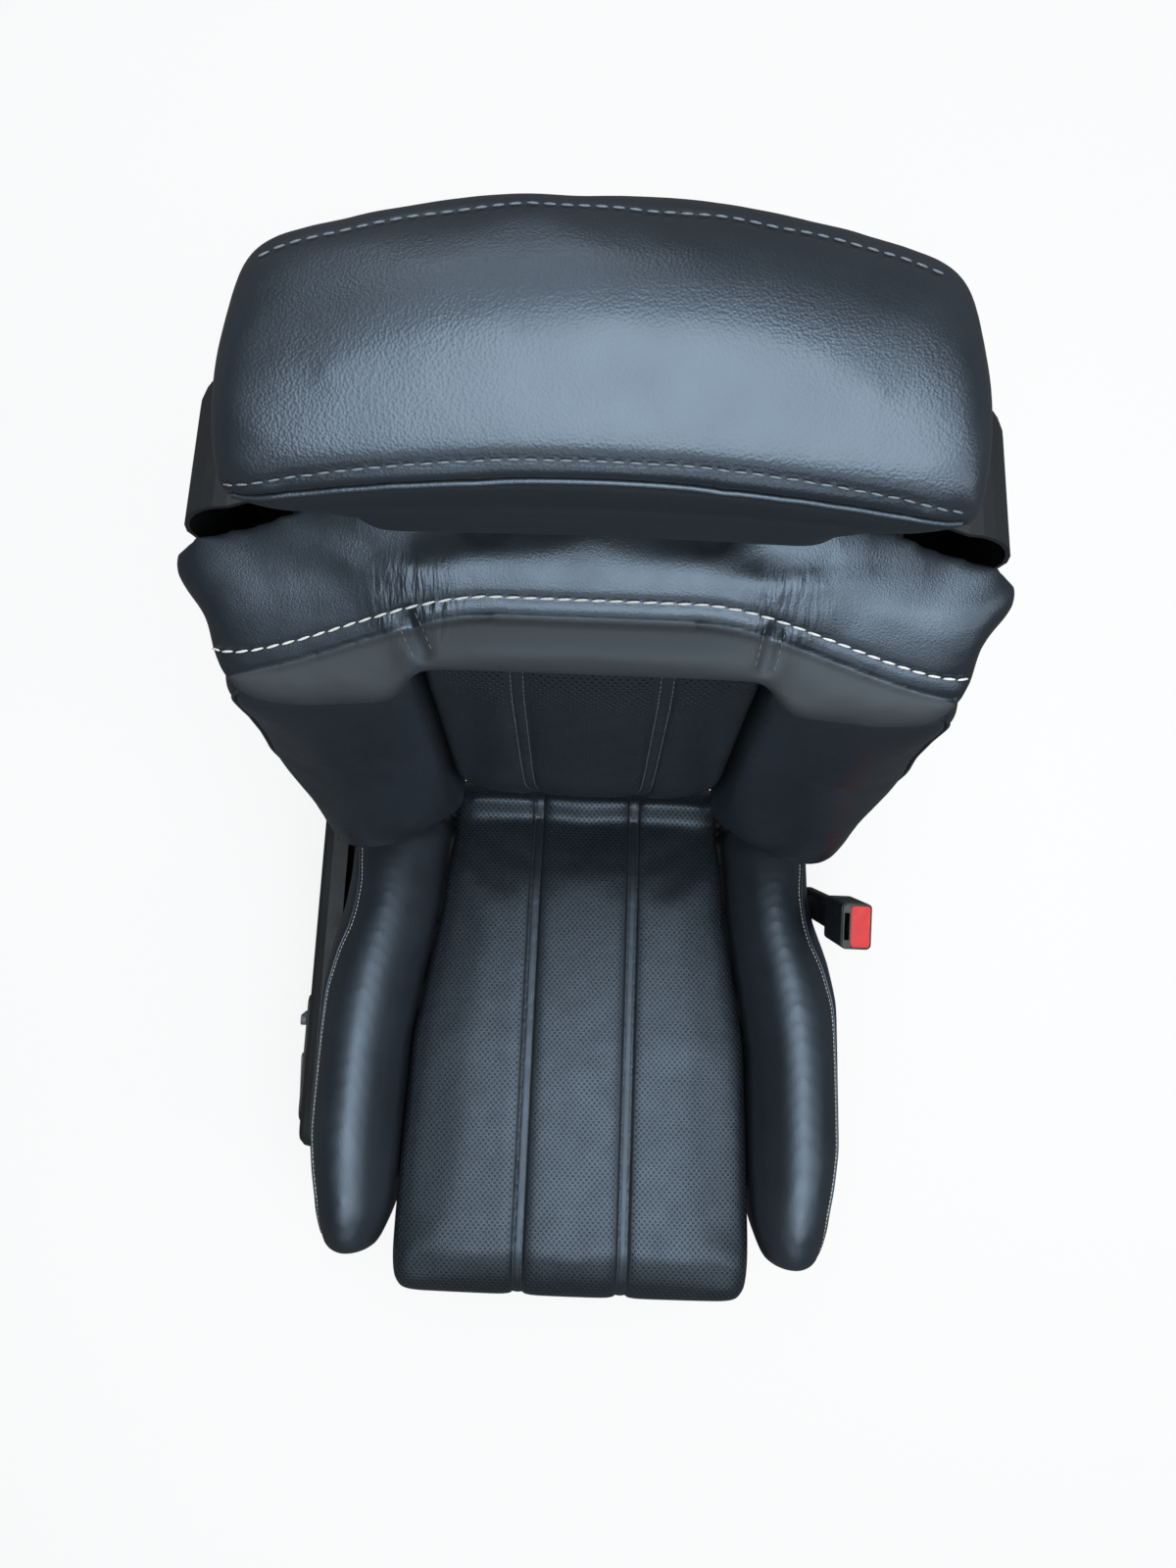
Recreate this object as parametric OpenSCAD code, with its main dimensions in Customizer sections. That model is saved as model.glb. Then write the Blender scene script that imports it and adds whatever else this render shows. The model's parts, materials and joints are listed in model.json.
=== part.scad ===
// Front seat of a road car with deep side bolsters: floor rails, a four-bar height
// adjuster, a pressed steel cushion frame, a reclining backrest, a shoulder section
// that tilts and carries the headrest, and the sewn foam pads and covers over them.
// Millimetres. The seat faces -Y, its inboard side is +X, and z = 0 is the floor.

/* [Rails] */
// Distance between the centre lines of the two rails
rail_spacing = 410; // [404:2:416]
// Length of the rails
rail_len = 460; // [430:5:490]
// Width of a floor rail
rail_w = 56; // [54:1:60]
// Height of a floor rail
rail_h = 26; // [24:1:27]
// Sheet thickness of the rails
rail_t = 2.5; // [2:0.1:2.8]
// How far the sliding rail stands above the floor rail
rail_proud = 10; // [8:1:11]
// Fore and aft distance between the floor bolt holes
bolt_pitch = 490; // [480:5:520]
// Radius of a floor bolt hole
floor_hole_r = 5.25; // [4.25:0.25:6.25]
// Thickness of the feet
foot_t = 4; // [3:0.5:5]
// Fore and aft travel each way
track_travel = 110; // [80:5:120]

/* [Height adjuster] */
// Distance between the two pivots of a lift arm
link_len = 70; // [64:1:74]
// Angle of the lift arms above level when the seat is down
link_rest = 15; // [12:1:20]
// Height of the lower pivots above the sliding rail
pivot_up = 22; // [20:1:26]
// Place of the front lower pivots
front_pivot_y = -200; // [-210:5:-190]
// Place of the rear lower pivots
rear_pivot_y = 100; // [90:5:105]
// Outer radius of the torque tubes
torque_r = 11; // [9:0.5:12]
// Wall of the torque tubes
torque_wall = 2.5; // [1.5:0.5:4]
// Thickness of a lift arm
arm_t = 5; // [4:0.5:5]
// Radius of the upper pivot pins
pin_r = 6; // [5:0.5:7]

/* [Cushion frame] */
// Rise of the cushion towards the front, in degrees
cushion_rise = 12.6; // [11:0.2:14]
// Height of the frame's top edge at its rear end
deck_rear_z = 137; // [134:1:142]
// Place of the frame's front end
frame_front_y = -286; // [-290:1:-280]
// Sheet thickness of the pressed side plates
side_t = 2.5; // [2:0.1:3]
// Width of the flange round a side plate
side_flange = 14; // [10:1:15]
// Radius of the lower cross tube behind the pan
cross_tube_r = 12; // [10:0.5:13]
// Width of one sinuous spring
spring_w = 56; // [40:2:64]
// Radius of the spring wire
spring_wire_r = 1.8; // [1.5:0.1:2.2]

/* [Recliner] */
// Distance of the recline axis behind the middle of the rails
hinge_y = 185; // [183:1:190]
// Height of the recline axis above the floor
hinge_z = 185; // [183:1:190]
// Lean of the backrest from upright, in degrees
recline = 15; // [13:1:17]
// Radius of a recliner disc
disc_r = 36; // [32:1:37]
// Thickness of one half of a recliner
disc_t = 6; // [5:0.5:6]
// Radius of the shaft that joins the two recliners
shaft_r = 6; // [5:0.5:8]

/* [Seat cushion] */
// Depth of the cushion at its rear
cushion_rear_depth = 79; // [74:1:84]
// Depth of the cushion at its front
cushion_front_depth = 97; // [90:1:104]
// Half width of the perforated panel at the front
seat_half_front = 182; // [176:1:184]
// Half width of the perforated panel at the rear
seat_half_rear = 146; // [142:1:149]
// Place of the cushion's front face
cushion_front_y = -358; // [-364:1:-352]
// Height of the cushion bolsters above the panel
seat_bolster_up = 44; // [36:1:50]
// Half width over the cushion bolsters
seat_half_w = 270; // [264:1:274]

/* [Back cushion] */
// Depth of the lumbar bulge in front of the recline axis
lumbar_out = 95; // [90:1:98]
// Height of the lumbar bulge above the recline axis
lumbar_up = 257; // [240:1:270]
// Half width of the panel in the backrest
back_half = 121; // [116:1:126]
// Half width over the backrest bolsters at the shoulders
back_half_w = 262; // [256:1:264]
// Half width over the backrest bolsters at the waist
waist_half_w = 244; // [240:1:245]
// How far the backrest bolsters stand ahead of the panel at the waist
waist_bolster_out = 56; // [50:1:60]

/* [Shoulder section] */
// Half width over the shoulder wings
wing_half = 252; // [246:1:256]
// How far the wing tips reach past the front of the wings
wing_tip = 18; // [12:1:20]
// Height of the top edge above the recline axis
shoulder_top = 611; // [609:1:614]

/* [Headrest] */
// Half width of the headrest at its front edge
head_half = 152; // [146:1:156]
// Height of the headrest's top above the recline axis
head_top = 880; // [870:1:890]
// Height of the headrest's underside above the recline axis
head_bottom = 660; // [655:1:670]
// Distance from the middle to a headrest post
post_x = 70; // [60:1:76]
// Radius of a headrest post
post_r = 6; // [5:0.5:7]
// Travel of the headrest below and above where it stands
head_travel = 30; // [20:1:32]

/* [Panels and buckle] */
// Wall of the moulded plastic covers
cover_wall = 2.5; // [2:0.1:3]
// Reach of the outer valance from the middle of the seat
valance_out = 303; // [298:1:306]
// Thickness of the switch panel on the outer valance
panel_t = 3.5; // [3:0.5:5]
// Reach of the inner valance from the middle of the seat
valance_in = 250; // [246:1:252]
// Distance of the buckle from the middle of the seat
buckle_x = 261; // [260:0.5:263]
// Place of the buckle along the seat
buckle_y = 34; // [28:1:40]
// Height of the buckle's top above the floor
buckle_top = 380; // [370:1:390]
// Height of the buckle's anchor bolt above the floor
anchor_z = 104; // [98:1:106]

/* [Hidden] */
$fn = 48;

running = 0.05;      // radial clearance of a pivot that turns
snug = 0.3;          // gap between parts that sit against each other
seam = 0.5;          // gap between neighbouring pads
rail_x = rail_spacing / 2;
rail_top = foot_t + rail_h + rail_proud;
lower_pivot_z = rail_top + pivot_up;
screw_z = foot_t + 15;
screw_r = 4;
ear_t = 4;
arm_x = rail_x + ear_t / 2 + snug;
side_x = arm_x + arm_t + snug;
side_outer = side_x + side_flange;
upper_dy = link_len * cos(link_rest);
upper_dz = link_len * sin(link_rest);
deck_rear_y = hinge_y - 55;
base_x = side_x - disc_t;
rotor_x = base_x - snug - disc_t;
back_side_x = rotor_x - side_t;
drive_y = -80;
drive_z = rail_top + 21;
foam_back = 36.5;
back_leg_x = side_outer - 2;

// ---- Shared shapes -------------------------------------------------------

function unit(v) = v / norm(v);
function turn(v, a) = [v[0] * cos(a) - v[1] * sin(a), v[0] * sin(a) + v[1] * cos(a)];
function ease(t) = let (u = max(0, min(1, t))) u * u * (3 - 2 * u);
function mix(a, b, t) = a + (b - a) * t;
function through(t, stops) = lookup(t, stops);

// The outline pts with each corner rounded by the radius at the same place in radii.
function rounded(pts, radii, steps = 5) = let (m = len(pts)) [
    for (i = [0 : m - 1])
        let (
            b = pts[i],
            u = unit(pts[(i + m - 1) % m] - b),
            w = unit(pts[(i + 1) % m] - b),
            half = acos(u * w) / 2,
            r = radii[i],
            centre = b + unit(u + w) * r / sin(half),
            from = b + u * r / tan(half) - centre,
            way = u[0] * w[1] - u[1] * w[0] > 0 ? -1 : 1
        )
        for (k = [0 : steps]) centre + turn(from, way * (180 - 2 * half) * k / steps)
];

// The counter-clockwise outline pts, moved inwards by d.
function inset(pts, d) = let (m = len(pts)) [
    for (i = [0 : m - 1])
        let (
            u = unit(pts[i] - pts[(i + m - 1) % m]),
            w = unit(pts[(i + 1) % m] - pts[i]),
            n = unit([-u[1] - w[1], u[0] + w[0]])
        )
        pts[i] + n * d / max(0.4, n * [-u[1], u[0]])
];

function box_outline(w, h, r) = rounded(
    [[-w / 2, -h / 2], [w / 2, -h / 2], [w / 2, h / 2], [-w / 2, h / 2]], [r, r, r, r]);

// Closed solid through rings of points, all with the same count.
module skin(rings) {
    n = len(rings[0]);
    m = len(rings);
    walls = [
        for (i = [0 : m - 2])
            for (j = [0 : n - 1])
                let (a = i * n + j, b = i * n + (j + 1) % n)
                each [[a, b + n, b], [a, a + n, b + n]]
    ];
    polyhedron(
        [for (ring = rings) each ring],
        concat(walls, [[for (j = [0 : n - 1]) j]], [[for (j = [n - 1 : -1 : 0]) (m - 1) * n + j]])
    );
}

// Mirrors its children to the -X side when side is -1.
module on_side(side) {
    if (side < 0)
        mirror([1, 0, 0]) children();
    else
        children();
}

// A bar of the children's outline in X and Z, lying along Y about the middle.
module along_y(length) {
    translate([0, length / 2, 0])
        rotate([90, 0, 0])
        linear_extrude(length)
        children();
}

// A cylinder along X from x0 to x1 through the point y, z.
module rod_x(x0, x1, y, z, r) {
    translate([x0, y, z])
        rotate([0, 90, 0])
        cylinder(r = r, h = x1 - x0);
}

// A plate with the children's outline in Y and Z, from x0 outwards.
module plate_x(x0, thickness) {
    translate([x0, 0, 0])
        rotate([90, 0, 90])
        linear_extrude(thickness)
        children();
}

// A pressed plate: a web of the outline pts with a flange all round it.
module pressed_plate(pts, depth, wall) {
    difference() {
        linear_extrude(depth) polygon(pts);
        translate([0, 0, wall])
            linear_extrude(depth)
            polygon(inset(pts, wall));
    }
}

// Frame of the cushion deck: its surface is z = 0 and it rises towards -Y.
module on_deck() {
    translate([0, deck_rear_y, deck_rear_z])
        rotate([-cushion_rise, 0, 0])
        children();
}

// Frame of the backrest: the recline axis is its origin and it stands along z.
module on_back() {
    translate([0, hinge_y, hinge_z])
        rotate([-recline, 0, 0])
        children();
}

function deck_z(y) = deck_rear_z + (deck_rear_y - y) * tan(cushion_rise);

// ---- Rails ---------------------------------------------------------------

module lower_rail(side) {
    half = rail_w / 2;
    slot = rail_w / 2 - 16;
    lip = 10;
    on_side(side)
        color("dimgray")
        translate([rail_x, 0, foot_t])
        along_y(rail_len)
        polygon([
            [-half, 0], [half, 0], [half, rail_h], [slot, rail_h], [slot, rail_h - lip],
            [slot + rail_t, rail_h - lip], [slot + rail_t, rail_h - rail_t], [half - rail_t, rail_h - rail_t],
            [half - rail_t, rail_t], [-half + rail_t, rail_t], [-half + rail_t, rail_h - rail_t],
            [-slot - rail_t, rail_h - rail_t], [-slot - rail_t, rail_h - lip], [-slot, rail_h - lip],
            [-slot, rail_h], [-half, rail_h]
        ]);
}

web_half = rail_w / 2 - 19;
hook_out = rail_w / 2 - rail_t - 5;
hook_low = rail_t + 2.5;

module upper_rail(side) {
    t = rail_t;
    top = rail_h + rail_proud;
    hook_top = rail_h - 6;
    on_side(side)
        color("silver")
        difference() {
            translate([rail_x, 0, foot_t])
                along_y(rail_len)
                polygon([
                    [web_half, top], [-web_half, top], [-web_half, hook_low + t], [-hook_out + t, hook_low + t],
                    [-hook_out + t, hook_top], [-hook_out, hook_top], [-hook_out, hook_low],
                    [-web_half + t, hook_low], [-web_half + t, top - t], [web_half - t, top - t],
                    [web_half - t, hook_low], [hook_out, hook_low], [hook_out, hook_top],
                    [hook_out - t, hook_top], [hook_out - t, hook_low + t], [web_half, hook_low + t]
                ]);
            translate([rail_x - gear_window / 2, drive_y - gear_window, rail_top - t - 1])
                cube([gear_window, 2 * gear_window, t + 2]);
        }
}

gear_window = 2 * (web_half - rail_t);

// Four feet under the ends of the floor rails, each with a bolt hole.
module rail_feet() {
    reach = (bolt_pitch - rail_len) / 2 + 25;
    grip = 36;
    color("dimgray")
        for (side = [-1, 1], end = [-1, 1])
            difference() {
                translate([side * rail_x, end * (rail_len / 2 + (reach - grip) / 2), 0])
                    linear_extrude(foot_t)
                    polygon(box_outline(rail_w + 4, reach + grip, 10));
                translate([side * rail_x, end * bolt_pitch / 2, -1])
                    cylinder(r = floor_hole_r, h = foot_t + 2);
            }
}

// Fixed spindles inside the rails, each held by a block at both ends.
module track_screws() {
    block = 6;
    block_w = gear_window - 2;
    low = foot_t + rail_t;
    color("lightgray")
        for (side = [-1, 1])
            union() {
                translate([side * rail_x, rail_len / 2 - block / 2, screw_z])
                    rotate([90, 0, 0])
                    cylinder(r = screw_r, h = rail_len - block);
                for (end = [-1, 1])
                    translate([side * rail_x - block_w / 2, end * (rail_len / 2 - block / 2) - block / 2, low])
                        cube([block_w, block, screw_z + screw_r + 2 - low]);
            }
}

// Plastic shoes between the sliding rail's feet and the floor rail.
module rail_glides() {
    shoe_len = 30;
    shoe_y = rail_len / 2 - track_travel - shoe_len / 2;
    color("ivory")
        for (side = [-1, 1], end = [-1, 1], edge = [-1, 1])
            translate([
                side * rail_x + edge * (web_half + hook_out) / 2 - 5,
                end * shoe_y - shoe_len / 2,
                foot_t + rail_t + snug
            ])
                cube([10, shoe_len, hook_low - rail_t - snug]);
}

// Flat cross member that ties the sliding rails and carries the motor.
module carriage_cross_bar() {
    bar_w = 44;
    color("dimgray")
        difference() {
            translate([-rail_x - web_half, drive_y - bar_w / 2, rail_top])
                cube([2 * (rail_x + web_half), bar_w, bar_t]);
            for (side = [-1, 1])
                translate([side * rail_x - gear_window / 2, drive_y - gear_window, rail_top - 1])
                    cube([gear_window, 2 * gear_window, bar_t + 2]);
        }
}

bar_t = 3;

// Gear case of each rail: its snout reaches down round the spindle.
module rail_gearboxes() {
    half = 18;
    snout = gear_window / 2 - 0.3;
    low = screw_z - screw_r - 3;
    box_low = rail_top + bar_t;
    color("black")
        for (side = [-1, 1])
            on_side(side)
                difference() {
                    union() {
                        translate([rail_x - half, drive_y - half, box_low])
                            cube([half + 6, 2 * half, drive_z + 11 - box_low]);
                        translate([rail_x - snout, drive_y - snout * 1.8, low])
                            cube([2 * snout, snout * 3.6, box_low + 1 - low]);
                    }
                    translate([rail_x, drive_y + half + 1, screw_z])
                        rotate([90, 0, 0])
                        cylinder(r = screw_r + running, h = 2 * half + 2);
                    rod_x(rail_x - half - 1, rail_x - half + 8, drive_y, drive_z, drive_r + running);
                }
}

drive_r = 4;
motor_half = 50;

module track_motor() {
    color("black")
        difference() {
            union() {
                rod_x(-motor_half, motor_half - 26, drive_y, drive_z, 18);
                translate([motor_half - 28, drive_y - 20, rail_top + bar_t])
                    cube([28, 40, 38]);
                translate([-motor_half + 10, drive_y - 11, rail_top + bar_t])
                    cube([motor_half, 22, 8]);
            }
            for (side = [-1, 1])
                rod_x(side * motor_half - 8, side * motor_half + 8, drive_y, drive_z, drive_r + running);
        }
}

module track_drive_shafts() {
    color("gray")
        for (side = [-1, 1])
            on_side(side)
                rod_x(motor_half - 7, rail_x - 11, drive_y, drive_z, drive_r);
}

// ---- Height adjuster -----------------------------------------------------

// Angle brackets on the sliding rails, with an ear for each torque tube.
module link_brackets() {
    foot = 28;
    ear = torque_r + 6;
    color("dimgray")
        for (side = [-1, 1], y = [front_pivot_y, rear_pivot_y])
            on_side(side)
                difference() {
                    union() {
                        translate([rail_x - 14, y - foot, rail_top])
                            cube([14 + web_half, 2 * foot, bar_t]);
                        translate([rail_x - ear_t / 2, y - ear, rail_top + 1])
                            cube([ear_t, 2 * ear, pivot_up - 1]);
                        rod_x(rail_x - ear_t / 2, rail_x + ear_t / 2, y, lower_pivot_z, ear);
                    }
                    rod_x(rail_x - 20, rail_x + 20, y, lower_pivot_z, torque_r + running);
                }
}

module torque_tube(y) {
    reach = arm_x + arm_t;
    color("gray")
        difference() {
            rod_x(-reach, reach, y, lower_pivot_z, torque_r);
            rod_x(-reach - 1, reach + 1, y, lower_pivot_z, torque_r - torque_wall);
        }
}

// Outline drawn tight round two bosses, the first at the origin and the second along X.
function strap_outline(length, big, small, steps = 10) = let (lean = acos((big - small) / length)) concat(
    [for (k = [0 : steps]) turn([big, 0], lean + (360 - 2 * lean) * k / steps)],
    [for (k = [0 : steps]) turn([small, 0], -lean + 2 * lean * k / steps) + [length, 0]]
);

// A pair of lift arms; clearance is the extra radius of their upper bores.
module lift_arms(y, clearance) {
    color("silver")
        for (side = [-1, 1])
            on_side(side)
                difference() {
                    translate([arm_x, y, lower_pivot_z])
                        rotate([90, 0, 90])
                        linear_extrude(arm_t)
                        polygon([for (p = strap_outline(link_len, torque_r + 6, pin_r + 7)) turn(p, link_rest)]);
                    rod_x(arm_x - 1, arm_x + arm_t + 1, y, lower_pivot_z, torque_r + 0.02);
                    rod_x(arm_x - 1, arm_x + arm_t + 1, y + upper_dy, lower_pivot_z + upper_dz,
                        pin_r + clearance);
                }
}

// Pins on the side plates that run in the upper ends of the lift arms.
module lift_pivot_pins() {
    head = pin_r + 3;
    color("lightgray")
        for (side = [-1, 1], y = [front_pivot_y, rear_pivot_y])
            on_side(side)
                union() {
                    rod_x(arm_x - 4, side_x + side_t + 3, y + upper_dy, lower_pivot_z + upper_dz, pin_r);
                    rod_x(arm_x - 5, arm_x - snug, y + upper_dy, lower_pivot_z + upper_dz, head);
                    rod_x(side_x + side_t, side_x + side_t + 5, y + upper_dy, lower_pivot_z + upper_dz, head);
                }
}

// ---- Cushion frame -------------------------------------------------------

horn = disc_r + 3;

function side_outline() = rounded([
    [frame_front_y, deck_z(frame_front_y)], [frame_front_y, deck_z(frame_front_y) - 34],
    [front_pivot_y + 25, lower_pivot_z + 38], [front_pivot_y + 45, lower_pivot_z + 4],
    [rear_pivot_y + 84, lower_pivot_z], [hinge_y + 20, lower_pivot_z + 30],
    [hinge_y + horn, hinge_z - 30], [hinge_y + horn, hinge_z + horn],
    [hinge_y - horn, hinge_z + horn], [deck_rear_y + 10, deck_z(deck_rear_y + 10)]
], [8, 14, 30, 10, 14, 30, 30, horn - 3, horn - 3, 16]);

// Pressed side plate with an upright horn that carries the recliner.
module cushion_side(side) {
    holes = [[-232, 24], [-60, 30], [-5, 24], [60, 18]];
    pin_z = lower_pivot_z + upper_dz;
    on_side(side)
        color("dimgray")
        difference() {
            translate([side_x, 0, 0])
                rotate([90, 0, 90])
                pressed_plate(side_outline(), side_flange, side_t);
            for (hole = holes)
                rod_x(side_x - 1, side_x + side_t + 1, hole[0],
                    (deck_z(hole[0]) + max(pin_z - 14, deck_z(hole[0]) - 90)) / 2, hole[1] * 0.75);
            for (y = [front_pivot_y, rear_pivot_y])
                rod_x(side_x - 1, side_x + side_t + 1, y + upper_dy, pin_z, pin_r + 0.02);
            rod_x(side_x - 1, side_x + side_t + 1, hinge_y, hinge_z, shaft_r + 1);
        }
}

pan_rear = 235;

// Pressed pan under the thighs, in the deck's frame.
module cushion_pan() {
    t = 2;
    front = (deck_rear_y - frame_front_y) / cos(cushion_rise) - 14;
    half = side_x - snug;
    color("gray")
        on_deck()
        difference() {
            union() {
                translate([-half, -front, -t]) cube([2 * half, front - pan_rear, t]);
                translate([-half, -front, -32]) cube([2 * half, t, 31]);
                translate([-half, -pan_rear - t, -16]) cube([2 * half, t, 15]);
                for (x = [-120, 0, 120])
                    translate([x, -(front + pan_rear) / 2, -7]) cylinder(r = 40, h = 6);
            }
            for (x = [-120, 0, 120])
                translate([x, -(front + pan_rear) / 2, -9]) cylinder(r = 34, h = 12);
        }
}

tube_y = deck_rear_y - 12;
tube_z = deck_z(tube_y) - 7.5 - cross_tube_r;

module rear_cross_tube() {
    reach = side_x - 0.1;
    color("gray")
        difference() {
            rod_x(-reach, reach, tube_y, tube_z, cross_tube_r);
            rod_x(-reach - 1, reach + 1, tube_y, tube_z, cross_tube_r - 2);
        }
}

// Sinuous springs from the pan to the cross tube, swept along a weaving path.
module cushion_springs() {
    start = -pan_rear + spring_wire_r + 0.2;
    finish = (tube_y - deck_rear_y) * cos(cushion_rise);
    waves = 4;
    count = waves * 12;
    sides = 6;
    z = -3.6 - spring_wire_r;
    swing = spring_w / 2 - spring_wire_r;
    color("silver")
        on_deck()
        for (x = [-132, -44, 44, 132])
            skin([
                for (i = [0 : count])
                    let (
                        phase = 360 * waves * i / count,
                        y = mix(start, finish, i / count) + 4 * sin(2 * phase),
                        slope_x = swing * cos(phase) * 2 * PI * waves,
                        slope_y = (finish - start) + 16 * PI * waves * cos(2 * phase),
                        side_way = unit([slope_y, -slope_x]),
                        sag = 6 * sin(180 * i / count)
                    )
                    [for (k = [0 : sides - 1])
                        let (a = 360 * k / sides)
                        [
                            x + swing * sin(phase) + spring_wire_r * cos(a) * side_way[0],
                            y + spring_wire_r * cos(a) * side_way[1],
                            z - sag - spring_wire_r * sin(a)
                        ]]
            ]);
}

module recliner_bases() {
    color("silver")
        for (side = [-1, 1])
            on_side(side)
                difference() {
                    rod_x(base_x, side_x, hinge_y, hinge_z, disc_r);
                    rod_x(base_x - 1, side_x + 1, hinge_y, hinge_z, shaft_r + running);
                    for (k = [0 : 5])
                        let (p = turn([disc_r - 7, 0], 60 * k))
                        rod_x(base_x - 1, side_x + 1, hinge_y + p[0], hinge_z + p[1], 2.5);
                }
}

// Motor and worm case that drive the rear lift arms.
module height_motor() {
    case_t = 36;
    z = lower_pivot_z + 48;
    inner = -side_x + snug;
    color("black")
        union() {
            translate([inner, rear_pivot_y - 70, z - 24])
                cube([case_t, 44, 48]);
            translate([inner + 20, rear_pivot_y - 60, z])
                rotate([90, 0, 0])
                cylinder(r = 18, h = 105);
        }
}

// ---- Seat pads -----------------------------------------------------------

// Half outline of a sewn panel as [sideways, up] pairs, from its bottom to its crown.
function panel_half(half, low, high, crown, pull, channel) = let (h = high - low) [
    [half - 8, low], [half - pull, low + 0.3 * h], [half, low + 0.66 * h], [half - 1.5, low + 0.84 * h],
    [half - 7, high - 3], [half - 18, high + 0.15 * crown], [channel + 26, high + 0.6 * crown],
    [channel + 8, high + 0.72 * crown], [channel + 2.5, high + 0.6 * crown - 1.5],
    [channel, high + 0.6 * crown - 3.5], [channel - 2.5, high + 0.6 * crown - 1.5],
    [channel - 8, high + 0.85 * crown]
];

// The whole outline of a panel, round from its right side to its left.
function panel_ring(half, low, high, crown, pull, channel) = let (
    right = panel_half(half, low, high, crown, pull, channel),
    n = len(right)
) concat(right, [[0, high + crown]], [for (i = [n - 1 : -1 : 0]) [-right[i][0], right[i][1]]]);

// Outline of a bolster as [sideways, up] pairs: inner edge, ridge, outer skirt, and the
// step where it sits on the frame. face is the height of the panel beside it, and lean
// moves the ridge outwards.
function bolster_ring(inner, outer, low, face, up, leg, skirt, lean) = let (w = outer - inner) [
    [inner, low], [inner, mix(low, face, 0.55)], [inner + 0.5, face - 7], [inner + 4, face + 3],
    [inner + 0.14 * w, face + mix(0.42, 0.3, lean) * up],
    [inner + mix(0.32, 0.34, lean) * w, face + mix(0.84, 0.66, lean) * up],
    [inner + mix(0.52, 0.56, lean) * w, face + mix(1, 0.9, lean) * up],
    [inner + mix(0.7, 0.76, lean) * w, face + mix(0.93, 1, lean) * up],
    [inner + mix(0.86, 0.9, lean) * w, face + mix(0.66, 0.86, lean) * up],
    [outer - 3, face + mix(0.22, 0.45, lean) * up], [outer, face - mix(0.25, 0.1, lean) * up],
    [outer - 1, mix(skirt, face, 0.4)], [outer - 5, skirt + 6], [(leg + outer) / 2 - 2, skirt],
    [leg + 1, skirt], [leg, low]
];

// The ring pulled towards the point centre by k.
function shrink(ring, centre, k) = [for (p = ring) centre + (p - centre) * k];

seat_rear_y = hinge_y - 25;
seat_mid_y = -110;
nose_r = 30;
nose_from = cushion_front_y + nose_r;
channel_x = 52;

function seat_half(y) = through(y, [
    [cushion_front_y, seat_half_front - 4], [nose_from, seat_half_front], [seat_mid_y, seat_half_front - 7],
    [20, seat_half_rear + 8], [seat_rear_y - 30, seat_half_rear]
]);
function seat_depth(y) = through(y, [
    [nose_from, cushion_front_depth], [seat_mid_y, cushion_front_depth - 4],
    [50, cushion_rear_depth + 5], [seat_rear_y - 34, cushion_rear_depth]
]);
function seat_face(y) = deck_z(y) + seat_depth(y);

// Perforated middle panel with a roll at its rear and a rounded nose.
module cushion_panel() {
    roll = seat_rear_y - 21;
    rear = [
        for (s = [
            [0, -38, 3], [4, -18, 0], [11, -4, 0], [21, 1, 0], [31, -4, 0], [39, -12, 0], [46, -8, 0], [56, -3, 0]
        ])
            let (y = seat_rear_y - s[0], high = deck_z(roll) + seat_depth(roll) + s[1])
            [for (p = panel_ring(seat_half_rear - s[2], deck_z(y) + snug, high, 2, 3, channel_x))
                [p[0], y, p[1]]]
    ];
    middle = [
        for (y = [66, 20, -40, seat_mid_y, -170, -230, frame_front_y + 4])
            [for (p = panel_ring(seat_half(y), deck_z(y) + snug, seat_face(y), 5, 4, channel_x))
                [p[0], y, p[1]]]
    ];
    front_low = deck_z(frame_front_y) - 46;
    nose = [
        for (a = [0, 15, 32, 50, 68, 84])
            let (
                y = nose_from + 14 * (1 - a / 84) * (a < 10 ? 1 : 0) - nose_r * sin(a),
                drop = nose_r * (1 - cos(a))
            )
            [for (p = panel_ring(seat_half(y) - drop / 8, front_low + drop * 0.7, seat_face(nose_from) - drop,
                5 - a / 30, 4, channel_x)) [p[0], y, p[1]]]
    ];
    color("#1c1f24") skin(concat(rear, middle, nose));
}

bolster_rear_y = hinge_y - 57;
bolster_tip_y = cushion_front_y + 37;

// How far each bolster's rear end is drawn in; the inboard one clears the buckle.
left_waist = 20;
right_waist = seat_half_w - buckle_x + 21;

// Bolster of the seat cushion; waist is how far its rear end is drawn in.
module cushion_bolster(side, waist) {
    leg = side_outer + 1;
    outline = [
        for (s = [
            [bolster_rear_y, 0.45], [bolster_rear_y - 4, 0.72], [bolster_rear_y - 12, 0.9],
            [bolster_rear_y - 26, 1], [50, 1], [20, 1], [-20, 1], [-60, 1], [seat_mid_y, 1], [seat_mid_y - 40, 1],
            [-200, 1], [-236, 1], [bolster_tip_y + 46, 0.97], [bolster_tip_y + 28, 0.88],
            [bolster_tip_y + 12, 0.74], [bolster_tip_y + 4, 0.5], [bolster_tip_y, 0.25]
        ])
            let (
                y = s[0],
                outer = seat_half_w - waist * ease((y + 60) / 110) - 14 * ease((-190 - y) / 110),
                rise = through(y, [[-300, 0.75], [-200, 1], [-40, 0.95], [60, 0.72], [128, 0.55]]),
                up = seat_bolster_up * rise,
                low = deck_z(y) + snug,
                centre = [(seat_half(y) + outer) / 2 + 6, mix(low, seat_face(y), 0.62)]
            )
            [for (p = bolster_ring(seat_half(y) + seam, outer, low, seat_face(y), up, leg, low - 20, 0))
                let (q = centre + (p - centre) * s[1])
                [p[0] < leg ? q[0] : max(q[0], mix(leg, p[0], 0.3)), y, q[1]]]
    ];
    color("#1c1f24") on_side(side) skin([for (i = [len(outline) - 1 : -1 : 0]) outline[i]]);
}

// ---- Plastic covers ------------------------------------------------------

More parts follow.
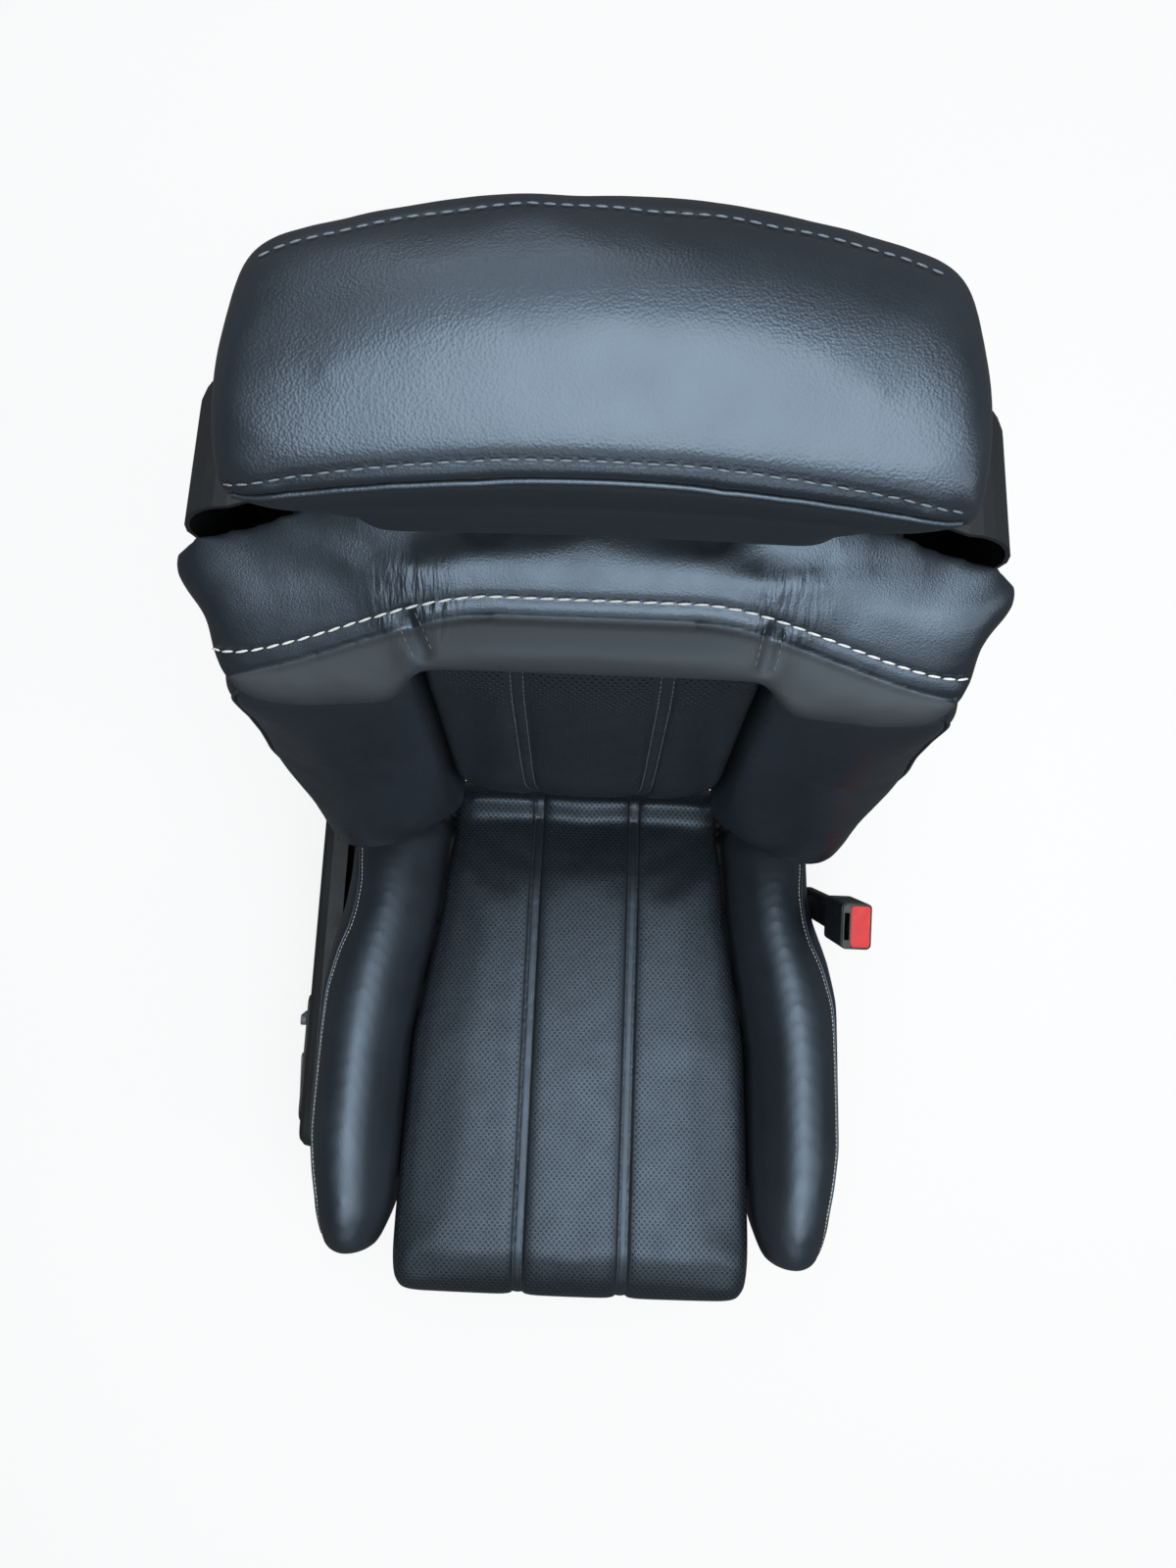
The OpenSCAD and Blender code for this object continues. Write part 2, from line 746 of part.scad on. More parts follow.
// Moulded cover over the outline pts: open at its rim, whose height is given point by
// point, and closed at the height face with an edge that rounds over by bend. From the
// point middle every edge of the outline is in sight; there the cover may stand out by
// raised.
module hollow_cover(pts, rim, face, bend, wall, middle, raised = 0) {
    n = len(pts);
    function ring(d, z) = [for (p = inset(pts, d)) [p[0], p[1], z]];
    function edge(d) = let (q = inset(pts, d)) [for (i = [0 : n - 1]) [q[i][0], q[i][1], rim[i]]];
    function plateau(k, z) = [for (p = shrink(inset(pts, bend), middle, k)) [p[0], p[1], z]];
    rings = [
        plateau(0.04, face + raised - wall),
        if (raised > 0) each [plateau(0.76, face + raised - wall), plateau(0.84, face + 0.3 * raised - wall)],
        ring(bend, face - wall), ring(wall + 0.35 * bend, face - 0.45 * bend - wall),
        ring(wall, face - bend - wall),
        edge(wall), edge(0), ring(0, face - bend), ring(0.12 * bend, face - 0.5 * bend),
        ring(0.5 * bend, face - 0.12 * bend), ring(bend, face),
        if (raised > 0) each [plateau(0.86, face + 0.3 * raised), plateau(0.78, face + raised)],
        plateau(0.04, face + raised)
    ];
    skin(rings);
}

valance_low = rail_top + 8;

// Side outline of a valance; lift is how far its top edge stands above the frame's, nose
// is the radius of its front corners, and notch holds the points of a recess in the top
// edge, with their radii.
function valance_outline(front, lift, nose, notch = [], notch_radii = []) = rounded(concat([
    [front, deck_z(front) - 44], [front + 44, valance_low + 44], [front + 120, valance_low],
    [hinge_y - 20, valance_low], [hinge_y + 56, hinge_z - 62], [hinge_y + 56, hinge_z + 40],
    [hinge_y - 42, hinge_z + 40], [bolster_rear_y + 5, deck_z(bolster_rear_y) + lift]
], notch, [[front + 8, deck_z(front + 8) + lift]]),
    concat([nose, 40, 60, 50, 44, 36, 24, 10], notch_radii, [nose]), 4);

switch_z = 164;
recline_switch_y = -118;
seat_switch_y = -186;
switch_half = 28;
switch_face = valance_out + panel_t;
cap_t = 6;
rocker_r = 4;
outer_lift = 4;

// Switch side cover; its top edge laps outside the cushion bolster.
module outer_valance() {
    pts = valance_outline(-256, outer_lift, 20);
    lap = seat_half_w + 2;
    rim = [for (p = pts) mix(side_outer + 1, lap,
        ease((p[1] - deck_z(p[0]) + 44) / 16) * ease((bolster_rear_y + 14 - p[0]) / 6))];
    color("#202020")
        mirror([1, 0, 0])
        rotate([90, 0, 90])
        hollow_cover(pts, rim, valance_out, 14, cover_wall, [hinge_y - 20, valance_low + 50]);
}

// Inner cover, with a recess in its top edge for the buckle's anchor.
module inner_valance() {
    lift = -27;
    depth = valance_in - side_outer - 1;
    notch = [
        [buckle_y + 32, deck_z(buckle_y + 32) + lift], [buckle_y + 19, anchor_z - 19],
        [buckle_y - 19, anchor_z - 19], [buckle_y - 34, deck_z(buckle_y - 34) + lift]
    ];
    color("#202020")
        translate([valance_in, 0, 0])
        mirror([1, 0, 0])
        rotate([90, 0, 90])
        pressed_plate(valance_outline(-246, lift, 7, notch, [14, 12, 12, 14]), depth, cover_wall);
}

// Trim plate on the outer valance, with a slot and a bore for the switches.
module switch_panel() {
    front = seat_switch_y - 42;
    rear = recline_switch_y + 26;
    top = outer_lift - 18;
    color("#181818")
        translate([-switch_face, 0, 0])
        rotate([90, 0, 90])
        linear_extrude(panel_t)
        difference() {
            polygon(rounded([
                [front, switch_z - 32], [rear, switch_z - 32],
                [rear, deck_z(rear) + top], [front, deck_z(front) + top]
            ], [14, 14, 10, 14]));
            translate([seat_switch_y, switch_z]) square([18, 8], center = true);
            translate([recline_switch_y, switch_z]) circle(r = rocker_r + running);
        }
}

// Bar that slides the whole seat, with a square stem in the panel's slot.
module seat_switch() {
    stem_w = 10;
    color("silver")
        union() {
            translate([0, seat_switch_y, switch_z])
                plate_x(-switch_face - snug - cap_t, cap_t)
                polygon(box_outline(2 * switch_half, 12, 5.5));
            translate([-switch_face - snug - 1, seat_switch_y - stem_w / 2, switch_z - 3.5])
                cube([panel_t + 1, stem_w, 7]);
        }
}

// Upright paddle that rocks on a round stem.
module recline_switch() {
    color("silver")
        union() {
            translate([0, recline_switch_y, switch_z])
                plate_x(-switch_face - snug - cap_t, cap_t)
                polygon(box_outline(12, 32, 5.5));
            rod_x(-switch_face - snug - 1, -valance_out - snug, recline_switch_y, switch_z, rocker_r);
        }
}

// ---- Backrest ------------------------------------------------------------

frame_front_v = -foam_back + snug;
shoulder_w = shoulder_top - 91;
back_frame_top = shoulder_w + 36;

function back_side_outline() = rounded([
    [-30, -38], [30, -38], [38, 10], [45, 70], [45, 470], [44, back_frame_top],
    [-18, back_frame_top], [frame_front_v, back_frame_top - 36], [frame_front_v, 20]
], [28, 28, 20, 40, 60, 8, 10, 20, 20]);

// Pressed side plate of the backrest, its flange turned inwards.
module back_side(side) {
    on_side(side)
        color("dimgray")
        on_back()
        difference() {
            translate([back_side_x + side_t, 0, 0])
                mirror([1, 0, 0])
                rotate([90, 0, 90])
                pressed_plate(back_side_outline(), side_flange - 2, side_t);
            for (w = [120, 190, 260, 400, 460])
                rod_x(back_side_x - 1, back_side_x + side_t + 1, 4, w, 17);
            rod_x(back_side_x - 1, back_side_x + side_t + 1, 0, 0, shaft_r + 0.02);
        }
}

upper_cross_low = shoulder_w - 15;
upper_cross_h = 35;

// Box beam at the shoulders, with the ears of the shoulder hinge.
module back_upper_cross() {
    v0 = 18;
    v1 = 41;
    reach = back_side_x - snug;
    color("dimgray")
        on_back()
        difference() {
            union() {
                translate([-reach, v0, upper_cross_low])
                    cube([2 * reach, v1 - v0, upper_cross_h]);
                for (side = [-1, 1])
                    translate([side * (shoulder_ear_x + 9.5) - 2.5, -2, upper_cross_low + 1])
                        cube([5, v0 + 3, 28]);
            }
            translate([-reach - 1, v0 + 2, upper_cross_low + 2])
                cube([2 * reach + 2, v1 - v0 - 4, upper_cross_h - 4]);
            for (side = [-1, 1])
                rod_x(side * (shoulder_ear_x + 9.5) - 4, side * (shoulder_ear_x + 9.5) + 4,
                    shoulder_v, shoulder_w, shoulder_pin_r + running);
        }
}

module back_lower_cross() {
    reach = back_side_x - snug;
    color("dimgray")
        on_back()
        difference() {
            translate([-reach, 24, 72]) cube([2 * reach, 18, 60]);
            translate([-reach + 30, 22, 74]) cube([2 * reach - 60, 18, 56]);
            for (x = [-140, -70, 0, 70, 140])
                translate([x, 50, 102]) rotate([90, 0, 0]) cylinder(r = 20, h = 30);
        }
}

// Wire mat that carries the back pad between the side plates.
module back_wires() {
    r = 1.6;
    v = frame_front_v + side_t + snug + r;
    reach = back_side_x - side_flange + side_t + 8;
    color("silver")
        on_back()
        union() {
            for (w = [150, 205, 260, 315, 370, 425])
                rod_x(-reach, reach, v, w, r);
            for (x = [-64, 64])
                translate([x, v + 2 * r - 0.8, 140]) cylinder(r = r, h = 300);
        }
}

module recliner_rotors() {
    color("silver")
        on_back()
        for (side = [-1, 1])
            on_side(side)
                difference() {
                    rod_x(rotor_x, rotor_x + disc_t, 0, 0, disc_r - 3);
                    rod_x(rotor_x - 1, rotor_x + disc_t + 1, 0, 0, shaft_r + 0.02);
                    for (k = [0 : 2])
                        let (p = turn([disc_r - 13, 0], 120 * k + 30))
                        rod_x(rotor_x + 3, rotor_x + disc_t + 1, p[0], p[1], 4);
                }
}

module recliner_shaft() {
    reach = side_x + side_t;
    color("gray") on_back() rod_x(-reach, reach, 0, 0, shaft_r);
}

// Gear case round the recliner shaft with its motor standing beside it.
module recline_motor() {
    x1 = back_side_x - snug;
    color("black")
        on_back()
        difference() {
            union() {
                translate([x1 - 38, -22, -20]) cube([38, 44, 50]);
                translate([x1 - 21, 0, 28]) cylinder(r = 17, h = 90);
            }
            rod_x(x1 - 40, x1 + 2, 0, 0, shaft_r + 0.02);
        }
}

module airbag_module() {
    x0 = back_side_x + side_t + snug;
    color("black")
        on_back()
        on_side(-1)
        translate([x0, 5, 370])
        rotate([90, 0, 90])
        linear_extrude(back_leg_x - x0 - 1.5)
        polygon(box_outline(46, 150, 8));
}

panel_bottom = 45;
panel_top = 526;

function back_face(w) = through(w, [
    [panel_bottom, lumbar_out - 42], [90, lumbar_out - 38], [150, lumbar_out - 24],
    [lumbar_up - 40, lumbar_out - 6], [lumbar_up, lumbar_out], [320, lumbar_out - 3],
    [400, lumbar_out - 6], [470, lumbar_out - 7], [panel_top, lumbar_out - 8]
]);
// The bolsters keep nearly the lumbar depth all the way down.
function wing_face(w) = through(w, [
    [panel_bottom, lumbar_out - 19], [90, lumbar_out - 12], [150, lumbar_out - 5],
    [lumbar_up - 40, lumbar_out - 1], [lumbar_up, lumbar_out], [320, lumbar_out - 3],
    [400, lumbar_out - 6], [470, lumbar_out - 7], [panel_top, lumbar_out - 8]
]);

// Middle panel of the backrest with its lumbar bulge.
module back_panel_pad() {
    rings = [
        for (s = [
            [panel_bottom, 0.35], [panel_bottom + 4, 0.7], [panel_bottom + 14, 0.92], [panel_bottom + 30, 1],
            [120, 1], [165, 1], [lumbar_up - 40, 1], [lumbar_up, 1], [300, 1], [350, 1], [410, 1], [460, 1],
            [494, 0.97], [510, 0.86], [panel_top - 5, 0.66], [panel_top, 0.4]
        ])
            let (w = s[0], high = mix(foam_back, back_face(w), s[1]))
            [for (p = panel_ring(back_half - (1 - s[1]) * 6, foam_back, high, 4, 3, channel_x))
                [p[0], -p[1], w]]
    ];
    color("#1c1f24") on_back() skin([for (i = [len(rings) - 1 : -1 : 0]) rings[i]]);
}

bolster_low = 80;
bolster_high = 491;

// Side bolster of the backrest: deepest at the waist, widest at the shoulders.
module back_bolster(side) {
    rings = [
        for (s = [
            [bolster_low, 0.4], [bolster_low + 4, 0.66], [bolster_low + 14, 0.86], [bolster_low + 30, 0.97],
            [140, 1], [170, 1], [200, 1], [235, 1], [270, 1], [310, 1], [350, 1], [390, 1], [430, 1],
            [466, 0.99], [480, 0.95], [bolster_high - 4, 0.86], [bolster_high, 0.68]
        ])
            let (
                w = s[0],
                outer = mix(waist_half_w, back_half_w, ease((w - 235) / 110)),
                up = waist_bolster_out * through(w, [
                    [80, 0.5], [130, 0.85], [193, 1], [240, 0.9], [300, 0.6], [350, 0.42], [420, 0.36],
                    [490, 0.4]
                ]),
                inner = back_half + seam,
                ring = bolster_ring(inner, outer, foam_back, wing_face(w), up, back_leg_x, -28, 1)
            )
            [for (p = shrink(ring, [(inner + outer) / 2 + 12, wing_face(w) * 0.55], s[1]))
                [p[0], -max(p[1], p[0] < back_leg_x ? foam_back : -28), w]]
    ];
    color("#1c1f24")
        on_side(side)
        on_back()
        skin(rings);
}

shell_rear = 82;

// Moulded shell behind the backrest, deeper round the shoulders.
module back_shell() {
    low = 52;
    top = 606;
    half_low = waist_half_w - 6;
    pts = rounded([
        [-half_low, low], [half_low, low], [back_half_w, 330], [back_half_w, top], [150, top + 1.5],
        [-150, top + 1.5], [-back_half_w, top], [-back_half_w, 330]
    ], [40, 40, 200, 36, 2000, 2000, 36, 200], 6);
    rim = [for (p = pts)
        p[1] > 492 ? mix(1, -22, ease((abs(p[0]) - 150) / 76)) : p[1] < 90 && abs(p[0]) < 212 ? 47.5 : 31];
    color("#202020")
        on_back()
        rotate([90, 0, 0])
        mirror([0, 0, 1])
        hollow_cover(pts, rim, shell_rear, 20, cover_wall + 0.5, [0, (low + top) / 2], 7);
}

// ---- Shoulder section ----------------------------------------------------

shoulder_v = 10;
shoulder_pin_r = 5;
shoulder_ear_x = 114;
post_v = -18;
sleeve_r = 10;
carrier_front = 38;
carrier_top = shoulder_top - 15;
carrier_h = 36;

// Steel carrier that hinges on the backrest and holds the headrest guides.
module shoulder_carrier() {
    color("dimgray")
        on_back()
        difference() {
            union() {
                translate([-shoulder_ear_x - 6, -11, shoulder_w + 8])
                    cube([2 * shoulder_ear_x + 12, 3, carrier_top - shoulder_w - 8]);
                for (side = [-1, 1]) {
                    translate([side * post_x - 16, -carrier_front, carrier_top - carrier_h])
                        cube([32, carrier_front - 6, carrier_h]);
                    on_side(side)
                        translate([shoulder_ear_x, -13, shoulder_w - 11])
                        cube([6, 27, 31]);
                }
            }
            for (side = [-1, 1]) {
                translate([side * post_x, post_v, carrier_top - carrier_h - 10])
                    cylinder(r = sleeve_r + 0.02, h = carrier_h + 24);
                on_side(side)
                    rod_x(shoulder_ear_x - 1, shoulder_ear_x + 7, shoulder_v, shoulder_w, shoulder_pin_r + 0.02);
            }
        }
}

module shoulder_hinge_pins() {
    color("lightgray")
        on_back()
        for (side = [-1, 1])
            on_side(side)
                union() {
                    rod_x(shoulder_ear_x - 4, shoulder_ear_x + 14, shoulder_v, shoulder_w, shoulder_pin_r);
                    rod_x(shoulder_ear_x - 5, shoulder_ear_x, shoulder_v, shoulder_w, shoulder_pin_r + 3);
                }
}

// One cross-section of the shoulder pad at the distance x from the middle.
function shoulder_ring(x) = let (
    a = abs(x),
    lobe = ease((a - 108) / 26),
    out = ease((a - 60) / 190),
    rear = [mix(-3, -30, ease((a - 120) / 120)), mix(shoulder_top, shoulder_top - 21, out)],
    stitch = [mix(-66, -97, out), mix(shoulder_top - 23, shoulder_top - 58, out)],
    nose = [
        mix(mix(-110, -124, lobe), -117, ease((a - 190) / 60)),
        mix(shoulder_top - 46, shoulder_top - 80, mix(out, lobe, 0.5))
    ],
    low = [mix(-95, -107, lobe), mix(shoulder_top - 65, shoulder_top - 104, lobe)],
    back_v = -carrier_front - 0.4,
    roof = mix(carrier_top + 2, shoulder_top - 60, ease((a - 134) / 30)),
    roof_rear = mix(-6, back_v, ease((a - 134) / 30)),
    profile = [
        rear, mix(rear, stitch, 0.34) + [-2, 5], mix(rear, stitch, 0.7) + [-1, 4], stitch,
        mix(stitch, nose, 0.16) + [1, -3], mix(stitch, nose, 0.5) + [-8, -1], nose + [-1, 4], nose + [0, -7],
        mix(nose, low, 0.6) + [-2, -3], low, mix(low, [back_v, low[1] + 3], 0.5) + [0, -1],
        [back_v, low[1] + 4],
        [back_v, roof - 12], [back_v, roof], [roof_rear, roof + 0.4], [rear[0] - 0.5, rear[1] - 9]
    ]
) [for (p = profile)
    let (spread = wing_tip / wing_half * ease((p[0] + 110) / 80) * ease(a / wing_half))
    [x * (1 + spread), p[0], p[1]]];

// Padded top of the backrest: a lip over the panel and two wings, in three lobes.
module shoulder_pad() {
    tip = [-52, shoulder_top - 46];
    ends = [[1, 0.3], [0.985, 0.62], [0.955, 0.84], [0.91, 0.96]];
    function closing(x, k) = [for (p = shoulder_ring(x)) [p[0], mix(tip[0], p[1], k), mix(tip[1], p[2], k)]];
    mids = [0.85, 0.77, 0.68, 0.6, 0.54, 0.5, 0.46, 0.42, 0.3, 0.15];
    color("#1c1f24")
        on_back()
        difference() {
            skin(concat(
                [for (e = ends) closing(-e[0] * wing_half, e[1])],
                [for (m = mids) shoulder_ring(-m * wing_half)],
                [shoulder_ring(0)],
                [for (i = [len(mids) - 1 : -1 : 0]) shoulder_ring(mids[i] * wing_half)],
                [for (i = [len(ends) - 1 : -1 : 0]) closing(ends[i][0] * wing_half, ends[i][1])]
            ));
            for (side = [-1, 1])
                translate([side * post_x, post_v, carrier_top - 10]) cylinder(r = sleeve_r + snug, h = 40);
        }
}

sleeve_low = carrier_top - 34;
sleeve_head = shoulder_top + 3;
sleeve_head_t = 7;

// Guide of a headrest post, pushed into the carrier from above.
module guide_sleeve(side) {
    pocket = side > 0 ? 1 : 0;
    color("#151515")
        on_back()
        difference() {
            union() {
                translate([side * post_x, post_v, sleeve_low])
                    cylinder(r = sleeve_r, h = sleeve_head - sleeve_low + 1);
                translate([side * post_x, post_v, sleeve_head])
                    linear_extrude(sleeve_head_t)
                    polygon(box_outline(32, 22, 8));
            }
            translate([side * post_x, post_v, sleeve_low - 7])
                cylinder(r = post_r + running, h = sleeve_head + sleeve_head_t - sleeve_low + 14);
            if (pocket == 1)
                translate([post_x + 9, post_v - 5.2, sleeve_head + 1.3]) cube([10, 10.4, 4.4]);
        }
}

module headrest_release_button() {
    color("#101010")
        on_back()
        translate([post_x + 13.4, post_v - 5, sleeve_head + 1.5])
        cube([9, 10, 4]);
}

// ---- Headrest ------------------------------------------------------------

bend_r = 15;

// Bent tube of the headrest: two legs, two bends and the bar between them.
module post_form(extra) {
    bar_r = post_r - 0.2;
    bar_w = head_bottom + 90;
    for (side = [-1, 1])
        on_side(side) {
            translate([post_x, post_v, head_bottom - 190])
                cylinder(r = post_r + extra, h = bar_w - bend_r - head_bottom + 190);
            translate([post_x - bend_r, post_v, bar_w - bend_r])
                rotate([90, 0, 0])
                rotate_extrude(angle = 90)
                translate([bend_r, 0])
                circle(r = bar_r + extra);
        }
    rod_x(-post_x + bend_r, post_x - bend_r, post_v, bar_w, bar_r - 0.1 + extra);
}

module headrest_posts() {
    color("silver") on_back() union() post_form(0);
}

module headrest_base() {
    color("#151515")
        on_back()
        difference() {
            translate([0, post_v - 4, head_bottom - 5])
                linear_extrude(4.6)
                polygon(box_outline(2 * post_x + 50, 32, 12));
            for (side = [-1, 1])
                translate([side * post_x, post_v, head_bottom - 10]) cylinder(r = post_r + 0.02, h = 20);
        }
}

// One cross-section of the headrest at x: it leans forward at the top and is hollowed
// across the front, with a full curve across the rear.
function head_ring(x) = let (
    s = (x / head_half) * (x / head_half),
    front = mix(-139, -148, s),
    rear = mix(-16, -42, s),
    top = mix(head_top, head_top - 9, s),
    h = head_top - head_bottom
) [
    [mix(-54, -50, s), head_bottom], [mix(-62, -64, s), head_bottom + 7],
    [mix(-84, -90, s), head_bottom + 0.3 * h],
    [mix(-106, -114, s), head_bottom + 0.54 * h], [front + 14, head_bottom + 0.72 * h],
    [front + 2, head_bottom + 0.83 * h], [front, top - 29], [front + 4, top - 22], [front + 13, top - 14],
    [mix(front, rear, 0.3), top - 4], [mix(front, rear, 0.55), top], [mix(front, rear, 0.78), top - 1],
    [rear - 7, top - 5], [rear, top - 12], [rear + 5, top - 30], [mix(rear, 4, 0.7), top - 90],
    [mix(rear, 8, 0.8), head_bottom + 70], [4, head_bottom + 22], [1, head_bottom + 6], [-4, head_bottom]
];

// Padded headrest, hollow where the bent tube passes through it.
module headrest_pad() {
    ends = [[1, 0.8], [0.992, 0.89], [0.97, 0.955], [0.93, 0.99]];
    mids = [0.82, 0.62, 0.4, 0.2];
    function closing(k, squeeze) = let (
        ring = head_ring(k * head_half),
        centre = [-62, head_bottom + 110]
    ) [for (p = ring) [
        k * head_half * mix(0.9, 1, ease((p[1] - head_bottom) / 190)) * mix(1, 0.955, ease((p[0] + 120) / 110)),
        mix(centre[0], p[0], mix(1, squeeze, 0.5)),
        mix(centre[1], p[1], squeeze)
    ]];
    color("#2b3038")
        on_back()
        difference() {
            skin(concat(
                [for (e = ends) closing(e[0], e[1])],
                [for (m = mids) closing(m, 1)],
                [closing(0, 1)],
                [for (i = [3 : -1 : 0]) closing(-mids[i], 1)],
                [for (i = [3 : -1 : 0]) closing(-ends[i][0], ends[i][1])]
            ));
            post_form(snug);
        }
}

// ---- Buckle --------------------------------------------------------------

buckle_t = 29;
buckle_w = 44;
buckle_h = 80;
slot_t = 5;
slot_w = 26;
button_t = 18;
button_w = 39;
stalk_t = 3;

// Shouldered bolt and spacer that carry the buckle's stalk.
module buckle_anchor() {
    color("silver")
        union() {
            rod_x(side_x + side_t + snug, buckle_x - stalk_t / 2 - snug, buckle_y, anchor_z, 11);
            rod_x(buckle_x - stalk_t / 2 - 1, buckle_x + stalk_t / 2 + 2, buckle_y, anchor_z, 6);
            rod_x(buckle_x + stalk_t / 2 + snug, buckle_x + stalk_t / 2 + 6, buckle_y, anchor_z, 10);
        }
}

module buckle_stalk() {
    strap_w = 24;
    top = buckle_top - buckle_h;
    color("gray")
        difference() {
            union() {
                rod_x(buckle_x - stalk_t / 2, buckle_x + stalk_t / 2, buckle_y, anchor_z, 16);
                translate([buckle_x - stalk_t / 2, buckle_y - strap_w / 2, anchor_z])
                    cube([stalk_t, strap_w, top - anchor_z]);
            }
            rod_x(buckle_x - 5, buckle_x + 5, buckle_y, anchor_z, 6 + running);
        }
}

module buckle_sheath() {
    low = anchor_z + 34;
    color("#151515")
        difference() {
            translate([buckle_x, buckle_y, low])
                linear_extrude(buckle_top - buckle_h - low)
                polygon(box_outline(13, 33, 5));
            translate([buckle_x - stalk_t / 2 - 0.1, buckle_y - 12.1, low - 1])
                cube([stalk_t + 0.2, 24.2, buckle_top - buckle_h - low + 2]);
        }
}

slot_x = buckle_x - buckle_t / 2 + 2.3;
pocket_x = buckle_x + buckle_t / 2 - 2 - button_t;

// Housing with the tongue's slot and the pocket of the release button.
module buckle_housing() {
    low = buckle_top - buckle_h;
    color("#151515")
        difference() {
            union() {
                translate([buckle_x, buckle_y, low])
                    linear_extrude(buckle_h - 3)
                    polygon(box_outline(buckle_t, buckle_w, 5));
                translate([buckle_x, buckle_y, buckle_top - 4])
                    linear_extrude(4)
                    polygon(box_outline(buckle_t - 2, buckle_w - 2, 4));
            }
            translate([slot_x, buckle_y - slot_w / 2, buckle_top - 50])
                cube([slot_t, slot_w, 60]);
            translate([pocket_x - 0.3, buckle_y - button_w / 2 - 0.3, buckle_top - 18])
                cube([button_t + 0.6, button_w + 0.6, 30]);
        }
}

module buckle_button() {
    color("red")
        translate([pocket_x + button_t / 2, buckle_y, buckle_top - 12.5])
        linear_extrude(12)
        polygon(box_outline(button_t, button_w, 2.5));
}

// ---- Nodes ---------------------------------------------------------------

lower_rail(-1);  // lower_rail_left
lower_rail(1);  // lower_rail_right
rail_feet();
track_screws();
upper_rail(-1);  // upper_rail_left
upper_rail(1);  // upper_rail_right
rail_glides();
link_brackets();
carriage_cross_bar();
rail_gearboxes();
track_motor();
track_drive_shafts();
torque_tube(front_pivot_y);  // front_torque_tube
lift_arms(front_pivot_y, 0.5);  // front_lift_arms
torque_tube(rear_pivot_y);  // rear_torque_tube
lift_arms(rear_pivot_y, running);  // rear_lift_arms
cushion_side(-1);  // cushion_side_left
cushion_side(1);  // cushion_side_right
cushion_pan();
rear_cross_tube();
cushion_springs();
lift_pivot_pins();
recliner_bases();
height_motor();
cushion_panel();
cushion_bolster(-1, left_waist);  // cushion_bolster_left
cushion_bolster(1, right_waist);  // cushion_bolster_right
outer_valance();
switch_panel();
inner_valance();
buckle_anchor();
back_side(-1);  // back_side_left
back_side(1);  // back_side_right
back_lower_cross();
back_upper_cross();
back_wires();
recliner_rotors();
recliner_shaft();
recline_motor();
airbag_module();
back_panel_pad();
back_bolster(-1);  // back_bolster_left
back_bolster(1);  // back_bolster_right
back_shell();
shoulder_carrier();
shoulder_hinge_pins();
shoulder_pad();
guide_sleeve(-1);  // guide_sleeve_left
guide_sleeve(1);  // guide_sleeve_right
headrest_release_button();
headrest_posts();
headrest_base();
headrest_pad();
buckle_stalk();
buckle_sheath();
buckle_housing();
buckle_button();
seat_switch();
recline_switch();
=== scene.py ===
import json
import math

import bmesh
import bpy
from mathutils import Matrix, Vector, kdtree
from mathutils.bvhtree import BVHTree


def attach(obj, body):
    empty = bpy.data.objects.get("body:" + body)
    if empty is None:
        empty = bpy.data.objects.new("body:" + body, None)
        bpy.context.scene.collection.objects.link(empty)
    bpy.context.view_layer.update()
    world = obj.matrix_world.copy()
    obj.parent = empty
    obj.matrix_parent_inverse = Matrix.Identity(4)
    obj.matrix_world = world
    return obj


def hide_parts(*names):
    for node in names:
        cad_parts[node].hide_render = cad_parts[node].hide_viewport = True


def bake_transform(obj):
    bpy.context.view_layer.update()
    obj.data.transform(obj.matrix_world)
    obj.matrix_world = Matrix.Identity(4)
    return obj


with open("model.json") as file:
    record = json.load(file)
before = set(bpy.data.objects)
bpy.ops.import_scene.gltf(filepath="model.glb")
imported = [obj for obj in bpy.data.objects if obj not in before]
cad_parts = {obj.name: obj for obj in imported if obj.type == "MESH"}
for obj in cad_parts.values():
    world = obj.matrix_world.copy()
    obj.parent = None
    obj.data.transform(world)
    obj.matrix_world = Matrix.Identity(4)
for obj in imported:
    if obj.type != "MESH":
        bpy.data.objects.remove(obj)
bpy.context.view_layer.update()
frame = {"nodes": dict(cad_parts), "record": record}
nodes = frame["nodes"]

# ---- Camera -----------------------------------------------------------------------------
# Looks straight down on the seat from just above the headrest, a little turned, so the
# headrest is near and large and the seat cushion far below it.
eye_height, eye_behind, eye_turn = 1.480, 0.160, math.radians(2.2)
eye = bpy.data.cameras.new("eye")
eye.lens = 26.55
eye.sensor_width = 36
eye.clip_start = 0.05
camera = bpy.data.objects.new("camera", eye)
camera.location = (0.0, eye_behind, eye_height)
camera.rotation_euler = (0, 0, eye_turn)
bpy.context.scene.collection.objects.link(camera)
bpy.context.scene.camera = camera

# ---- Studio -----------------------------------------------------------------------------
# Pale floor that keeps a soft shadow, a grey wall all round near the horizon under a dim
# ceiling, and soft boxes overhead, behind, beside and in front. Polished leather mirrors
# these, so the floor glows less for mirrored rays than for the camera.
wall_top, ceiling_from = 0.02, 0.14
wall_grey, ceiling_grey = (0.26, 0.27, 0.28, 1), (0.030, 0.035, 0.042, 1)
backdrop, cool_white = (0.93, 0.93, 0.93, 1), (0.90, 0.97, 1.0)
floor_half, floor_white, floor_shine, mirrored_glow = 60, 0.8, 0.82, 0.12
surround = bpy.data.worlds.new("surround")
bpy.context.scene.world = surround
surround.use_nodes = True
sky_nodes, sky_links = surround.node_tree.nodes, surround.node_tree.links
sky_nodes.clear()
sky_out = sky_nodes.new("ShaderNodeOutputWorld")
shed = sky_nodes.new("ShaderNodeBackground")
sky_place = sky_nodes.new("ShaderNodeTexCoord")
sky_axes = sky_nodes.new("ShaderNodeSeparateXYZ")
sky_ramp = sky_nodes.new("ShaderNodeValToRGB")
